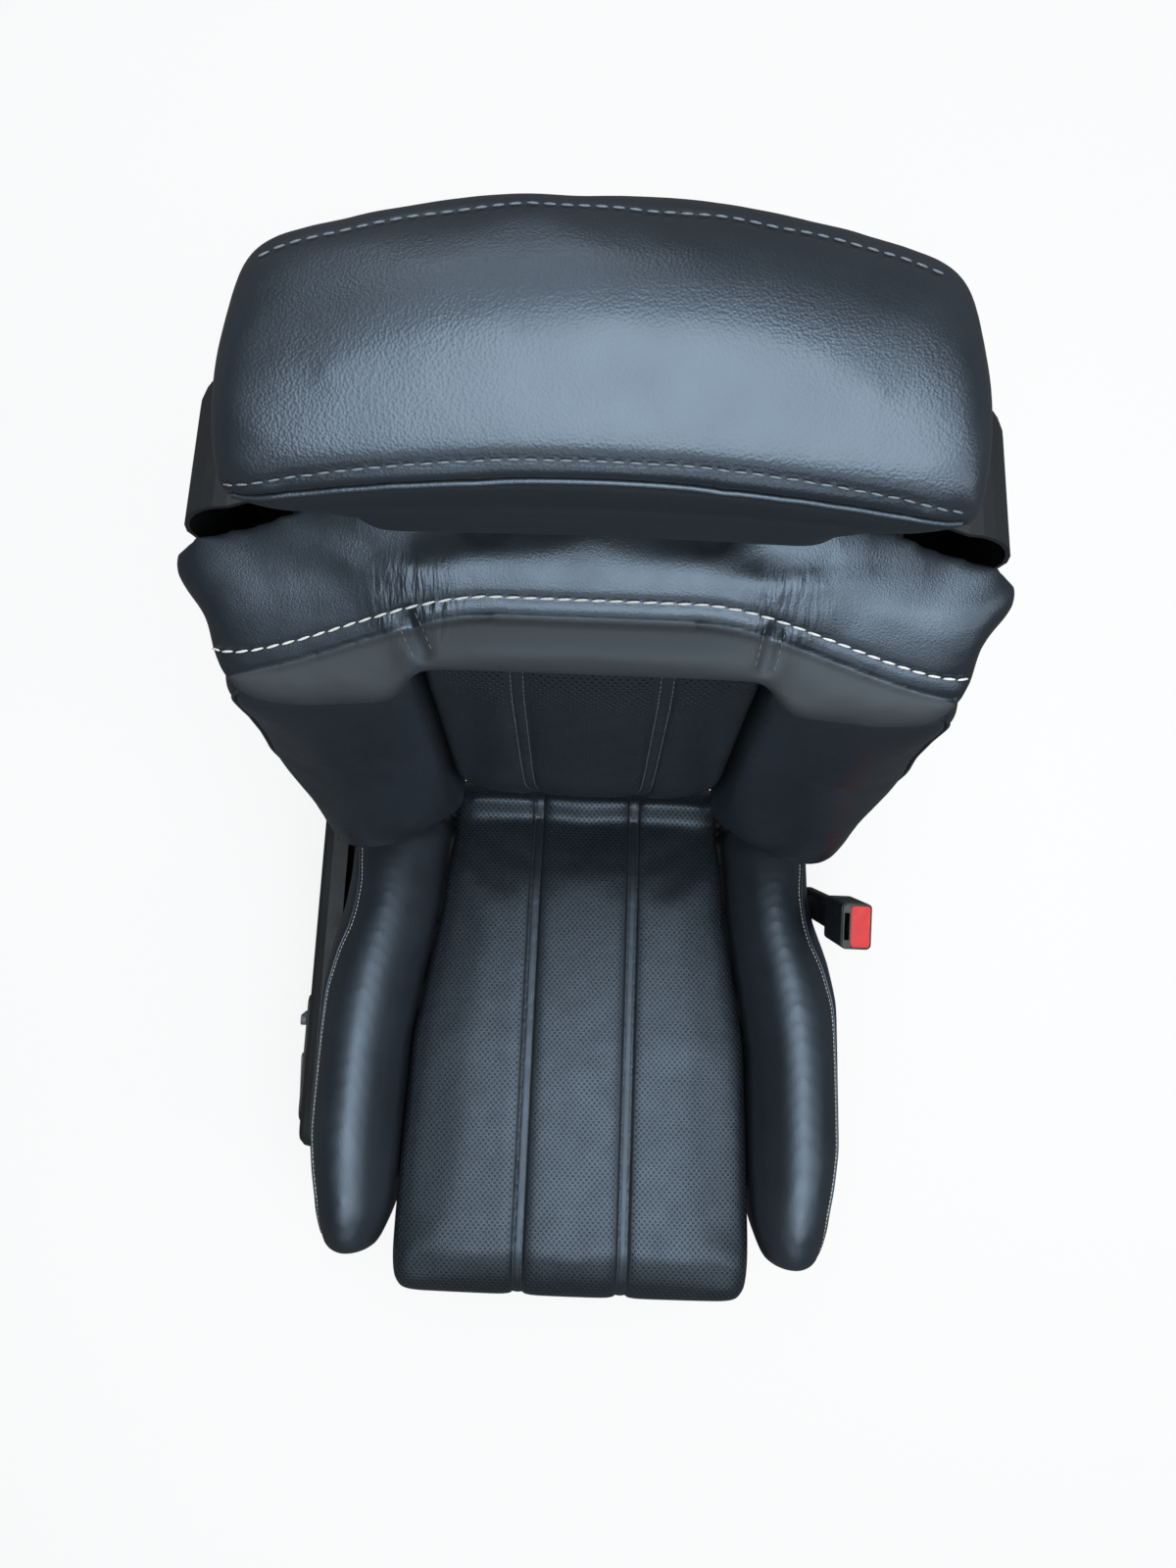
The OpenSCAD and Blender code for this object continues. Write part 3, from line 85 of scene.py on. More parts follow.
sky_ramp.color_ramp.interpolation = "EASE"
sky_ramp.color_ramp.elements[0].position = wall_top
sky_ramp.color_ramp.elements[0].color = wall_grey
sky_ramp.color_ramp.elements[1].position = ceiling_from
sky_ramp.color_ramp.elements[1].color = ceiling_grey
sky_links.new(sky_place.outputs["Generated"], sky_axes.inputs[0])
sky_links.new(sky_axes.outputs["Z"], sky_ramp.inputs["Fac"])
sky_links.new(sky_ramp.outputs["Color"], shed.inputs["Color"])
sky_behind = sky_nodes.new("ShaderNodeBackground")
sky_behind.inputs["Color"].default_value = backdrop
sky_ray = sky_nodes.new("ShaderNodeLightPath")
sky_mix = sky_nodes.new("ShaderNodeMixShader")
sky_links.new(sky_ray.outputs["Is Camera Ray"], sky_mix.inputs[0])
sky_links.new(shed.outputs[0], sky_mix.inputs[1])
sky_links.new(sky_behind.outputs[0], sky_mix.inputs[2])
sky_links.new(sky_mix.outputs[0], sky_out.inputs[0])

ground = bmesh.new()
bmesh.ops.create_grid(ground, x_segments=1, y_segments=1, size=floor_half)
floor_mesh = bpy.data.meshes.new("floor")
ground.to_mesh(floor_mesh)
ground.free()
floor = bpy.data.objects.new("floor", floor_mesh)
bpy.context.scene.collection.objects.link(floor)
pale = bpy.data.materials.new("pale_floor")
pale.use_nodes = True
floor_nodes, floor_links = pale.node_tree.nodes, pale.node_tree.links
floor_nodes.clear()
floor_out = floor_nodes.new("ShaderNodeOutputMaterial")
floor_matt = floor_nodes.new("ShaderNodeBsdfDiffuse")
floor_matt.inputs["Color"].default_value = (floor_white, floor_white, floor_white, 1)
floor_glow = floor_nodes.new("ShaderNodeEmission")
floor_mix = floor_nodes.new("ShaderNodeMixShader")
floor_ray = floor_nodes.new("ShaderNodeLightPath")
floor_direct = floor_nodes.new("ShaderNodeMath")
floor_direct.operation = "MAXIMUM"
floor_part = floor_nodes.new("ShaderNodeMath")
floor_part.operation = "MULTIPLY"
floor_part.inputs[1].default_value = floor_shine
floor_mirrored = floor_nodes.new("ShaderNodeMath")
floor_mirrored.operation = "MAXIMUM"
floor_strength = floor_nodes.new("ShaderNodeMapRange")
floor_strength.inputs["To Min"].default_value = 1.0
floor_strength.inputs["To Max"].default_value = mirrored_glow
floor_links.new(floor_ray.outputs["Is Camera Ray"], floor_direct.inputs[0])
floor_links.new(floor_ray.outputs["Is Transmission Ray"], floor_direct.inputs[1])
floor_links.new(floor_direct.outputs[0], floor_part.inputs[0])
floor_links.new(floor_part.outputs[0], floor_mirrored.inputs[0])
floor_links.new(floor_ray.outputs["Is Glossy Ray"], floor_mirrored.inputs[1])
floor_links.new(floor_ray.outputs["Is Glossy Ray"], floor_strength.inputs["Value"])
floor_links.new(floor_strength.outputs[0], floor_glow.inputs["Strength"])
floor_links.new(floor_mirrored.outputs[0], floor_mix.inputs[0])
floor_links.new(floor_matt.outputs[0], floor_mix.inputs[1])
floor_links.new(floor_glow.outputs[0], floor_mix.inputs[2])
floor_links.new(floor_mix.outputs[0], floor_out.inputs[0])
floor_mesh.materials.append(pale)


def soft_box(name, place, aim, size, watts):
    """A rectangular lamp of a slightly cool white."""
    lamp = bpy.data.lights.new(name, "AREA")
    lamp.shape = "RECTANGLE"
    lamp.size, lamp.size_y = size
    lamp.energy = watts
    lamp.color = cool_white
    box = bpy.data.objects.new(name, lamp)
    box.location = place
    box.rotation_euler = (Vector(aim) - Vector(place)).to_track_quat("-Z", "Y").to_euler()
    bpy.context.scene.collection.objects.link(box)


soft_box("overhead_box", (0.24, 0.28, 3.0), aim=(0.24, 0.28, 0.5), size=(1.9, 2.9), watts=102)
soft_box("rear_box", (-0.5, 2.6, 2.4), aim=(0, 0.2, 0.7), size=(1.4, 0.8), watts=10)
soft_box("side_box", (1.6, -0.3, 2.2), aim=(0.1, -0.1, 0.5), size=(0.8, 1.8), watts=12)
soft_box("front_box", (0.2, -2.4, 2.6), aim=(0.1, 0.1, 0.7), size=(2.0, 0.9), watts=13)


# ---- Rails and feet ---------------------------------------------------------------------
# Rolled steel channels bolted to the floor at their feet, dip-coated black; the same coat
# is on every pressed or welded member of the two frames.
def new_finish(name, colour, roughness, metallic=0.0):
    """A material with its node tree, its shader and the object coordinates to paint it on."""
    finish = bpy.data.materials.new(name)
    finish.use_nodes = True
    tree = finish.node_tree
    shader = tree.nodes["Principled BSDF"]
    shader.inputs["Base Color"].default_value = (*colour, 1)
    shader.inputs["Roughness"].default_value = roughness
    shader.inputs["Metallic"].default_value = metallic
    place = tree.nodes.new("ShaderNodeTexCoord")
    return finish, tree, shader, place.outputs["Object"]


def speckle(tree, place, scale, detail=2.0):
    """Uneven value between 0 and 1; scale is in spots per metre."""
    noise = tree.nodes.new("ShaderNodeTexNoise")
    noise.inputs["Scale"].default_value = scale
    noise.inputs["Detail"].default_value = detail
    tree.links.new(place, noise.inputs["Vector"])
    return noise.outputs["Fac"]


def vary(tree, value, low, high, socket):
    """Spreads a speckle's value between low and high on a socket."""
    spread = tree.nodes.new("ShaderNodeMapRange")
    spread.inputs["From Min"].default_value = 0.3
    spread.inputs["From Max"].default_value = 0.7
    spread.inputs["To Min"].default_value = low
    spread.inputs["To Max"].default_value = high
    tree.links.new(value, spread.inputs["Value"])
    tree.links.new(spread.outputs[0], socket)


def tint(tree, value, dark, light, shader):
    """Base colour between dark and light after a speckle."""
    ramp = tree.nodes.new("ShaderNodeValToRGB")
    ramp.color_ramp.elements[0].position = 0.3
    ramp.color_ramp.elements[0].color = (*dark, 1)
    ramp.color_ramp.elements[1].position = 0.7
    ramp.color_ramp.elements[1].color = (*light, 1)
    tree.links.new(value, ramp.inputs["Fac"])
    tree.links.new(ramp.outputs["Color"], shader.inputs["Base Color"])


def emboss(tree, value, depth, shader, before=None):
    """Raised grain of a depth in metres, on top of the relief before it."""
    bump = tree.nodes.new("ShaderNodeBump")
    bump.inputs["Distance"].default_value = depth
    tree.links.new(value, bump.inputs["Height"])
    if before:
        tree.links.new(before, bump.inputs["Normal"])
    tree.links.new(bump.outputs["Normal"], shader.inputs["Normal"])
    return bump.outputs["Normal"]


def dress(names, finish):
    """Gives CAD nodes a finish."""
    for name in names:
        mesh = nodes[name].data
        mesh.materials.clear()
        mesh.materials.append(finish)


slot_of = {row["node"]: row["material_slot"] for row in frame["record"]["subparts"]}
dip_coat, tree, shader, place = new_finish("dip_coat", (0.03, 0.031, 0.033), 0.42)
tint(tree, speckle(tree, place, 9), (0.024, 0.025, 0.027), (0.040, 0.041, 0.044), shader)
vary(tree, speckle(tree, place, 60), 0.34, 0.55, shader.inputs["Roughness"])
emboss(tree, speckle(tree, place, 700, 1), 0.00006, shader)
dress([n for n in nodes if slot_of[n] == "frame_paint"], dip_coat)

# ---- Sliding rails, pins and arms -------------------------------------------------------
# Bright zinc-plated steel: the moving rails, the fixed spindles, the lift arms with their
# pins, the recliner discs and the buckle's strap.
zinc, tree, shader, place = new_finish("zinc_plate", (0.45, 0.45, 0.44), 0.32, 1.0)
tint(tree, speckle(tree, place, 22), (0.36, 0.36, 0.35), (0.55, 0.55, 0.53), shader)
vary(tree, speckle(tree, place, 130), 0.26, 0.44, shader.inputs["Roughness"])
emboss(tree, speckle(tree, place, 900, 1), 0.00004, shader)
dress([n for n in nodes if slot_of[n] == "zinc_steel"], zinc)

# ---- Seat springs and back wires --------------------------------------------------------
# Oil-tempered spring wire with a dark film of oil, hooked into the cushion's frame and
# clipped across the backrest's.
wire_steel, tree, shader, place = new_finish("spring_wire", (0.22, 0.22, 0.23), 0.36, 1.0)
tint(tree, speckle(tree, place, 45), (0.15, 0.15, 0.16), (0.30, 0.30, 0.31), shader)
emboss(tree, speckle(tree, place, 1500, 1), 0.00003, shader)
dress([n for n in nodes if slot_of[n] == "spring_wire"], wire_steel)

# ---- Motors and gear cases --------------------------------------------------------------
# Motor cans with a satin black coat; their gear cases and the sliding shoes are moulded.
motor_coat, tree, shader, place = new_finish("motor_coat", (0.02, 0.02, 0.021), 0.3)
vary(tree, speckle(tree, place, 40), 0.24, 0.4, shader.inputs["Roughness"])
emboss(tree, speckle(tree, place, 500, 1), 0.00005, shader)
dress([n for n in nodes if slot_of[n] == "motor_black"], motor_coat)
shoe_plastic, tree, shader, place = new_finish("shoe_plastic", (0.72, 0.70, 0.64), 0.45)
tint(tree, speckle(tree, place, 50), (0.64, 0.62, 0.56), (0.76, 0.74, 0.68), shader)
dress([n for n in nodes if slot_of[n] == "glide_plastic"], shoe_plastic)

# ---- Headrest tube ----------------------------------------------------------------------
# One bent steel tube, ground and chromium-plated, that slides in the two guides of the
# shoulder section.
chrome, tree, shader, place = new_finish("post_chrome", (0.75, 0.76, 0.78), 0.08, 1.0)
vary(tree, speckle(tree, place, 200), 0.05, 0.13, shader.inputs["Roughness"])
dress([n for n in nodes if slot_of[n] == "post_chrome"], chrome)

# ---- Moulded covers ---------------------------------------------------------------------
# Injection-moulded polypropylene with a fine eroded grain: valances, back shell, headrest
# base, buckle case and sheath, clipped or screwed to the frames behind them.
moulding, tree, shader, place = new_finish("grained_moulding", (0.02, 0.021, 0.023), 0.5)
pebble = tree.nodes.new("ShaderNodeTexVoronoi")
pebble.inputs["Scale"].default_value = 650
tree.links.new(place, pebble.inputs["Vector"])
tint(tree, speckle(tree, place, 4), (0.015, 0.016, 0.018), (0.020, 0.021, 0.023), shader)
vary(tree, speckle(tree, place, 30), 0.42, 0.58, shader.inputs["Roughness"])
emboss(tree, pebble.outputs["Distance"], 0.00012, shader)
shader.inputs["Specular IOR Level"].default_value = 0.35
dress([n for n in nodes if slot_of[n] == "black_plastic"], moulding)

# ---- Headrest guides --------------------------------------------------------------------
# Smooth satin mouldings, pressed into the shoulder section's carrier, that close the holes for the
# headrest tube;
# their grey is painted light, chosen lighter so that the heads show as lit slivers in the
# headrest's shade.
guide_painted_light, tree, shader, place = new_finish("guide_painted_light", (0.24, 0.25, 0.265), 0.38)
tint(tree, speckle(tree, place, 40), (0.21, 0.22, 0.235), (0.27, 0.28, 0.295), shader)
vary(tree, speckle(tree, place, 120), 0.32, 0.45, shader.inputs["Roughness"])
dress(["guide_sleeve_left", "guide_sleeve_right"], guide_painted_light)

# ---- Switches and buckle button ---------------------------------------------------------
# Satin grey switch caps on the outboard panel, and the buckle's red release button, moulded
# in acetal with a dished finger pad.
cap_plastic, tree, shader, place = new_finish("satin_caps", (0.12, 0.12, 0.125), 0.35)
vary(tree, speckle(tree, place, 90), 0.3, 0.42, shader.inputs["Roughness"])
dress([n for n in nodes if slot_of[n] == "switch_satin"], cap_plastic)
red_plastic, tree, shader, place = new_finish("red_button", (0.62, 0.012, 0.012), 0.3)
tint(tree, speckle(tree, place, 60), (0.52, 0.008, 0.010), (0.62, 0.012, 0.014), shader)
shader.inputs["Specular IOR Level"].default_value = 0.2
vary(tree, speckle(tree, place, 150), 0.24, 0.38, shader.inputs["Roughness"])
dress(["buckle_button"], red_plastic)


# ---- Seat cushion -----------------------------------------------------------------------
# Perforated leather over moulded foam, in one panel with two sewn channels, a tied-down
# roll at the rear and a rounded nose. The cover is pulled tight, so it crowns a little.
def sewn_cover(node, name, held, voxel, swell, wadding=None):
    """Cover drawn over a foam block: the block's form, blown up a little where it is free.

    held gives how firmly a place is tied down, from 0 to 1, swell the most that the cover
    lifts, and wadding the foam added under it.
    """
    settling_frames, smoothing_rounds = 20, 8
    block = bmesh.new()
    block.from_mesh(nodes[node].data)
    bmesh.ops.remove_doubles(block, verts=block.verts, dist=0.00001)
    if wadding:
        block.normal_update()
        padded = [v.co + wadding(v.co, v.normal) for v in block.verts]
        for v, co in zip(block.verts, padded):
            v.co = co
    mesh = bpy.data.meshes.new(name)
    block.to_mesh(mesh)
    block.free()
    cover = bpy.data.objects.new(name, mesh)
    bpy.context.scene.collection.objects.link(cover)
    skin = cover.modifiers.new("skin", "REMESH")
    skin.mode = "VOXEL"
    skin.voxel_size = voxel
    settle(cover)
    start = [v.co.copy() for v in cover.data.vertices]
    normals = [v.normal.copy() for v in cover.data.vertices]
    group = cover.vertex_groups.new(name="held")
    for i, (p, n) in enumerate(zip(start, normals)):
        group.add([i], min(1, max(0, held(p, n))), "REPLACE")
    cloth = cover.modifiers.new("cover", "CLOTH")
    cloth.settings.quality = 4
    cloth.settings.mass = 0.4
    cloth.settings.tension_stiffness = 25
    cloth.settings.compression_stiffness = 25
    cloth.settings.shear_stiffness = 12
    cloth.settings.bending_stiffness = 2
    cloth.settings.use_pressure = True
    cloth.settings.uniform_pressure_force = 4
    cloth.settings.vertex_group_mass = "held"
    cloth.settings.effector_weights.gravity = 0
    cloth.point_cache.frame_end = settling_frames
    for step in range(1, settling_frames + 1):
        bpy.context.scene.frame_set(step)
    settle(cover)
    bpy.context.scene.frame_set(1)
    cover.vertex_groups.clear()
    for v, p, n in zip(cover.data.vertices, start, normals):
        move = (v.co - p) * (1 - min(1, max(0, held(p, n))))
        if move.length > swell:
            move *= swell / move.length
        v.co = p + move
    smooth = bmesh.new()
    smooth.from_mesh(cover.data)
    for _ in range(smoothing_rounds):
        bmesh.ops.smooth_vert(
            smooth, verts=smooth.verts, factor=0.5,
            use_axis_x=True, use_axis_y=True, use_axis_z=True)
    smooth.to_mesh(cover.data)
    smooth.free()
    finer = cover.modifiers.new("finer", "SUBSURF")
    finer.levels = finer.render_levels = 1
    settle(cover)
    for face in cover.data.polygons:
        face.use_smooth = True
    return cover


def settle(piece):
    """Makes the piece's modifiers part of its mesh."""
    graph = bpy.context.evaluated_depsgraph_get()
    made = bpy.data.meshes.new_from_object(piece.evaluated_get(graph))
    old = piece.data
    piece.modifiers.clear()
    piece.data = made
    bpy.data.meshes.remove(old)


def surface_of(piece):
    """The piece's surface as it is now, to lay seams on."""
    shape = bmesh.new()
    shape.from_mesh(piece.data)
    tree = BVHTree.FromBMesh(shape)
    shape.free()
    return tree


def lay(surface, aims):
    """Points and normals where each aim, a pair of start and direction, meets the surface."""
    found = []
    for start, way in aims:
        point, normal, _, _ = surface.ray_cast(Vector(start), Vector(way).normalized())
        if point is not None:
            found.append((point, normal if normal.dot(Vector(way)) < 0 else -normal))
    return found


def steps(start, end, pitch=0.004):
    """Places from start towards end, one at every pitch."""
    way = math.copysign(pitch, end - start)
    return [start + i * way for i in range(int(abs(end - start) / pitch + 0.001) + 1)]


def evenly(track, pitch):
    """The track's points and normals at every pitch along it."""
    spots, carried = [], 0.0
    for (a, na), (b, nb) in zip(track, track[1:]):
        span = (b - a).length
        while carried < span:
            t = carried / span
            spots.append((a.lerp(b, t), na.lerp(nb, t).normalized(), (b - a) / span))
            carried += pitch
        carried -= span
    return spots


def draw_in(piece, tracks, width, depth):
    """Pulls the cover in along sewn tracks, by depth at the seam and less over its width."""
    spacing = 0.002
    line = [spot for track in tracks for spot in evenly(track, spacing)]
    near = kdtree.KDTree(len(line))
    for i, spot in enumerate(line):
        near.insert(spot[0], i)
    near.balance()
    reach = width * 3
    for v in piece.data.vertices:
        _, i, distance = near.find(v.co)
        if distance < reach:
            v.co -= line[i][1] * depth * math.exp(-((distance / width) ** 2))
    piece.data.update()


def score(piece, places):
    """Cuts an edge loop at each x in places, so that a narrow seam has points to follow."""
    cut = bmesh.new()
    cut.from_mesh(piece.data)
    for x in places:
        bmesh.ops.bisect_plane(
            cut, geom=cut.verts[:] + cut.edges[:] + cut.faces[:], dist=0.0002,
            plane_co=(x, 0, 0), plane_no=(1, 0, 0))
    cut.to_mesh(piece.data)
    cut.free()
    for face in piece.data.polygons:
        face.use_smooth = True


bead = bpy.data.meshes.new("bead")
ball = bmesh.new()
bmesh.ops.create_uvsphere(
    ball, u_segments=6, v_segments=5, radius=1, matrix=Matrix.Rotation(math.pi / 2, 4, "Y"))
ball.to_mesh(bead)
ball.free()


def stitches(name, tracks, finish, body, slot, pitch, length, radius, lift=0.0001, slant=0.0):
    """Rows of thread, each stitch a slim bead that dips into the leather at both ends.

    lift is how far its middle stands out, and slant how far it leans across its row.
    """
    rows = bmesh.new()
    for track in tracks:
        for point, normal, along in evenly(track, pitch):
            across = normal.cross(along).normalized()
            way = (along + across * slant).normalized()
            across = normal.cross(way).normalized()
            turn = Matrix((way, across, normal)).transposed().to_4x4()
            size = Matrix.Diagonal((length / 2, radius, radius, 1))
            stitch = bead.copy()
            stitch.transform(Matrix.Translation(point + normal * lift) @ turn @ size)
            rows.from_mesh(stitch)
            bpy.data.meshes.remove(stitch)
    mesh = bpy.data.meshes.new(name)
    rows.to_mesh(mesh)
    rows.free()
    for face in mesh.polygons:
        face.use_smooth = True
    mesh.materials.append(finish)
    thread = bpy.data.objects.new(name, mesh)
    bpy.context.scene.collection.objects.link(thread)
    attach(thread, body)


def beside(surface, track, offset):
    """The track moved sideways over the surface."""
    moved = []
    for i, (point, normal) in enumerate(track):
        before, after = track[max(0, i - 1)][0], track[min(len(track) - 1, i + 1)][0]
        across = normal.cross(after - before).normalized()
        near, _, _, _ = surface.find_nearest(point + across * offset)
        moved.append((near, normal))
    return moved


def thread_finish(name, colour):
    """Twisted polyester thread."""
    finish, tree, shader, place = new_finish(name, colour, 0.6)
    tint(tree, speckle(tree, place, 900), tuple(c * 0.75 for c in colour), colour, shader)
    emboss(tree, speckle(tree, place, 2500, 1), 0.0001, shader)
    return finish


white_thread = thread_finish("white_thread", (0.80, 0.80, 0.77))
grey_thread = thread_finish("grey_thread", (0.13, 0.15, 0.175))
black_thread = thread_finish("black_thread", (0.035, 0.037, 0.042))


def leather(name, dark, light, satin=0.39):
    """Full-grain leather: small pebbles parted by fine creases, with broad soft folds.

    satin is the roughness where it is worn smoothest.
    """
    finish, tree, shader, place = new_finish(name, light, 0.42)
    tint(tree, speckle(tree, place, 7, 3), dark, light, shader)
    vary(tree, speckle(tree, place, 38, 3), satin, satin + 0.07, shader.inputs["Roughness"])
    shader.inputs["Specular IOR Level"].default_value = 1.0
    # The sheen's blue tint is a painted reflection of a blue sky; the lamps themselves are near
    # white.
    shader.inputs["Specular Tint"].default_value = (0.66, 0.81, 1.0, 1)
    pebbles = tree.nodes.new("ShaderNodeTexVoronoi")
    pebbles.inputs["Scale"].default_value = 780
    pebbles.inputs["Randomness"].default_value = 0.9
    tree.links.new(place, pebbles.inputs["Vector"])
    grain = emboss(tree, pebbles.outputs["Distance"], 0.00009, shader)
    folds = emboss(tree, speckle(tree, place, 26, 2), 0.0004, shader, grain)
    return finish, tree, shader, place, folds


leather_dark, leather_light = (0.009, 0.011, 0.014), (0.017, 0.020, 0.025)
smooth_leather, *_ = leather("smooth_leather", leather_dark, leather_light)


def swap(tree, socket, value, where):
    """Replaces what feeds a socket by a value where the mask is 1."""
    colour = socket.type == "RGBA"
    before, beyond, result = (6, 7, 2) if colour else (2, 3, 0)
    mix = tree.nodes.new("ShaderNodeMix")
    mix.data_type = "RGBA" if colour else "FLOAT"
    tree.links.new(socket.links[0].from_socket, mix.inputs[before])
    mix.inputs[beyond].default_value = value
    tree.links.new(where, mix.inputs[0])
    tree.links.new(mix.outputs[result], socket)


def perforated(name, turn, clear):
    """Leather with staggered rows of holes, left plain beside the seams at clear."""
    pitch_x, pitch_y, hole, hole_depth, margin = 0.0054, 0.0062, 0.0009, 0.0008, 0.009
    finish, tree, shader, place, folds = leather(
        name, (0.008, 0.010, 0.013), (0.015, 0.018, 0.022))
    shader.inputs["Specular IOR Level"].default_value = 0.7
    flat = tree.nodes.new("ShaderNodeMapping")
    flat.inputs["Rotation"].default_value = turn
    tree.links.new(place, flat.inputs["Vector"])

    def maths(operation, a, b=None):
        node = tree.nodes.new("ShaderNodeMath")
        node.operation = operation
        for i, value in enumerate((a, b)):
            if value is None:
                continue
            if isinstance(value, (int, float)):
                node.inputs[i].default_value = value
            else:
                tree.links.new(value, node.inputs[i])
        return node.outputs[0]

    axes = tree.nodes.new("ShaderNodeSeparateXYZ")
    tree.links.new(flat.outputs[0], axes.inputs[0])
    x, y = axes.outputs["X"], axes.outputs["Y"]
    rows = []
    for shift in (0.0, 0.5):
        across = maths("PINGPONG", maths("ADD", x, pitch_x * (0.5 + shift)), pitch_x / 2)
        along = maths("PINGPONG", maths("ADD", y, pitch_y * (0.5 + shift)), pitch_y / 2)
        across = maths("SUBTRACT", pitch_x / 2, across)
        along = maths("SUBTRACT", pitch_y / 2, along)
        squares = maths("MULTIPLY", across, across), maths("MULTIPLY", along, along)
        rows.append(maths("SQRT", maths("ADD", *squares)))
    nearest = maths("MINIMUM", rows[0], rows[1])
    inside = tree.nodes.new("ShaderNodeMapRange")
    inside.inputs["From Min"].default_value = hole * 0.75
    inside.inputs["From Max"].default_value = hole * 1.3
    inside.inputs["To Min"].default_value = 1
    inside.inputs["To Max"].default_value = 0
    tree.links.new(nearest, inside.inputs["Value"])
    from_seam = maths("ABSOLUTE", maths("SUBTRACT", maths("ABSOLUTE", x), clear))
    holes = maths("MULTIPLY", inside.outputs[0], maths("GREATER_THAN", from_seam, margin))
    swap(tree, shader.inputs["Base Color"], (0.001, 0.001, 0.001, 1), holes)
    pit = tree.nodes.new("ShaderNodeBump")
    pit.invert = True
    pit.inputs["Distance"].default_value = hole_depth
    tree.links.new(holes, pit.inputs["Height"])
    tree.links.new(folds, pit.inputs["Normal"])
    tree.links.new(pit.outputs["Normal"], shader.inputs["Normal"])
    return finish


def finish_pad(piece, node, finish, body):
    """Puts a finished cover in the place of its CAD node, on the body that carries it."""
    piece.data.materials.clear()
    piece.data.materials.append(finish)
    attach(piece, body)
    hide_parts(node)


def sew_channels(panel, track_at):
    """Draws the two channels in, each between twin rows of stitches, and gives the rows."""
    loops = (-0.0030, -0.0015, 0, 0.0015, 0.0030)
    rows = [side * channel + row for side in (-1, 1) for row in (-row_gap, row_gap)]
    score(panel, [x + loop for x in rows for loop in loops])
    surface = surface_of(panel)
    channels = [track_at(surface, side * channel) for side in (-1, 1)]
    draw_in(panel, channels, width=0.0085, depth=0.0022)
    surface = surface_of(panel)
    draw_in(panel, [track_at(surface, x) for x in rows], width=0.0016, depth=0.0016)
    surface = surface_of(panel)
    return [track_at(surface, x) for x in rows]


channel, row_gap = 0.052, 0.0044
fine_stitch = {"pitch": 0.0056, "length": 0.0044, "radius": 0.00045}
deck_rear_y, deck_rear_z, deck_rise = 0.130, 0.137, 0.2235
cushion_tilt = math.radians(12.6)
seat_leather = perforated("seat_leather", (cushion_tilt, 0, 0), channel)


def deck(y):
    """Height of the cushion frame's upper edge at y."""
    return deck_rear_z + (deck_rear_y - y) * deck_rise


def seat_held(p, n):
    """Tied down at the frame, and at the sides where the bolsters press on it."""
    tied_height, side_from = 0.05, 0.12
    if p.z < deck(p.y) + tied_height:
        return 1.0
    return abs(n.x) ** 2 * (1 if abs(p.x) > side_from else 0)


def seat_track(surface, x):
    """A line at x over the panel, from its rear roll to the front and down the nose."""
    over = [((x, y, 0.6), (0, 0, -1)) for y in steps(0.158, -0.346)]
    down = [((x, -0.6, z), (0, 1, 0)) for z in steps(0.318, 0.198)]
    return lay(surface, over + down)


seat_panel = sewn_cover("cushion_panel", "seat_panel", seat_held, voxel=0.0055, swell=0.004)
seat_rows = sew_channels(seat_panel, seat_track)
finish_pad(seat_panel, "cushion_panel", seat_leather, "cushion")
stitches(
    "seat_panel_stitches", seat_rows, black_thread, "cushion", "thread_grey", **fine_stitch)


# ---- Cushion bolsters -------------------------------------------------------------------
# Smooth leather over firm foam wings; a piped seam with a fine white stitch runs round
# the outer edge, where the side panel joins the top.
def piping(name, tracks, finish, body, radius):
    """Leather-covered cord sewn into a seam, sunk by a part of its radius."""
    pitch, sunk = 0.006, 0.3
    line = bpy.data.curves.new(name, "CURVE")
    line.dimensions = "3D"
    line.bevel_depth = radius
    line.bevel_resolution = 2
    line.use_fill_caps = True
    for track in tracks:
        spots = evenly(track, pitch)
        run = line.splines.new("POLY")
        run.points.add(len(spots) - 1)
        for spot, (point, normal, _) in zip(run.points, spots):
            spot.co = (*(point - normal * radius * sunk), 1)
    rope = bpy.data.objects.new(name, line)
    bpy.context.scene.collection.objects.link(rope)
    graph = bpy.context.evaluated_depsgraph_get()
    mesh = bpy.data.meshes.new_from_object(rope.evaluated_get(graph))
    bpy.data.objects.remove(rope)
    for face in mesh.polygons:
        face.use_smooth = True
    mesh.materials.clear()
    mesh.materials.append(finish)
    cord = bpy.data.objects.new(name, mesh)
    bpy.context.scene.collection.objects.link(cord)
    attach(cord, body)


def bolster_held(p, n):
    """Tied down at the frame, and firm on the side towards the panel."""
    inward = -n.x if p.x > 0 else n.x
    return 1.0 if p.z < deck(p.y) + 0.012 else max(0, inward) ** 2


def wing_seam_height(y):
    """The seam runs level over the deck, falls off to the rear and dips round the tip."""
    above_deck, rear_fall, tip_from, tip_fall = 0.107, 0.18, -0.262, 0.5
    return deck(y) + above_deck - max(0, y) * rear_fall - max(0, tip_from - y) * tip_fall


outboard, piping_radius, seam_width = 0.4, 0.0018, 0.0035
for side, word in ((-1, "left"), (1, "right")):
    wing = sewn_cover(
        f"cushion_bolster_{word}", f"seat_wing_{word}", bolster_held, voxel=0.005, swell=0.005)
    seam = lay(surface_of(wing), [
        ((side * outboard, y, wing_seam_height(y)), (-side, 0, 0)) for y in steps(0.116, -0.304)])
    draw_in(wing, [seam], seam_width, depth=0.0022)
    row = beside(surface_of(wing), seam, side * -0.005)
    finish_pad(
        wing, f"cushion_bolster_{word}", smooth_leather, "cushion")
    piping(
        f"seat_wing_piping_{word}", [seam], smooth_leather, "cushion",
        radius=piping_radius)
    stitches(
        f"seat_wing_stitches_{word}", [row], white_thread, "cushion", "thread_white",
        pitch=0.0042, length=0.0030, radius=0.00042)

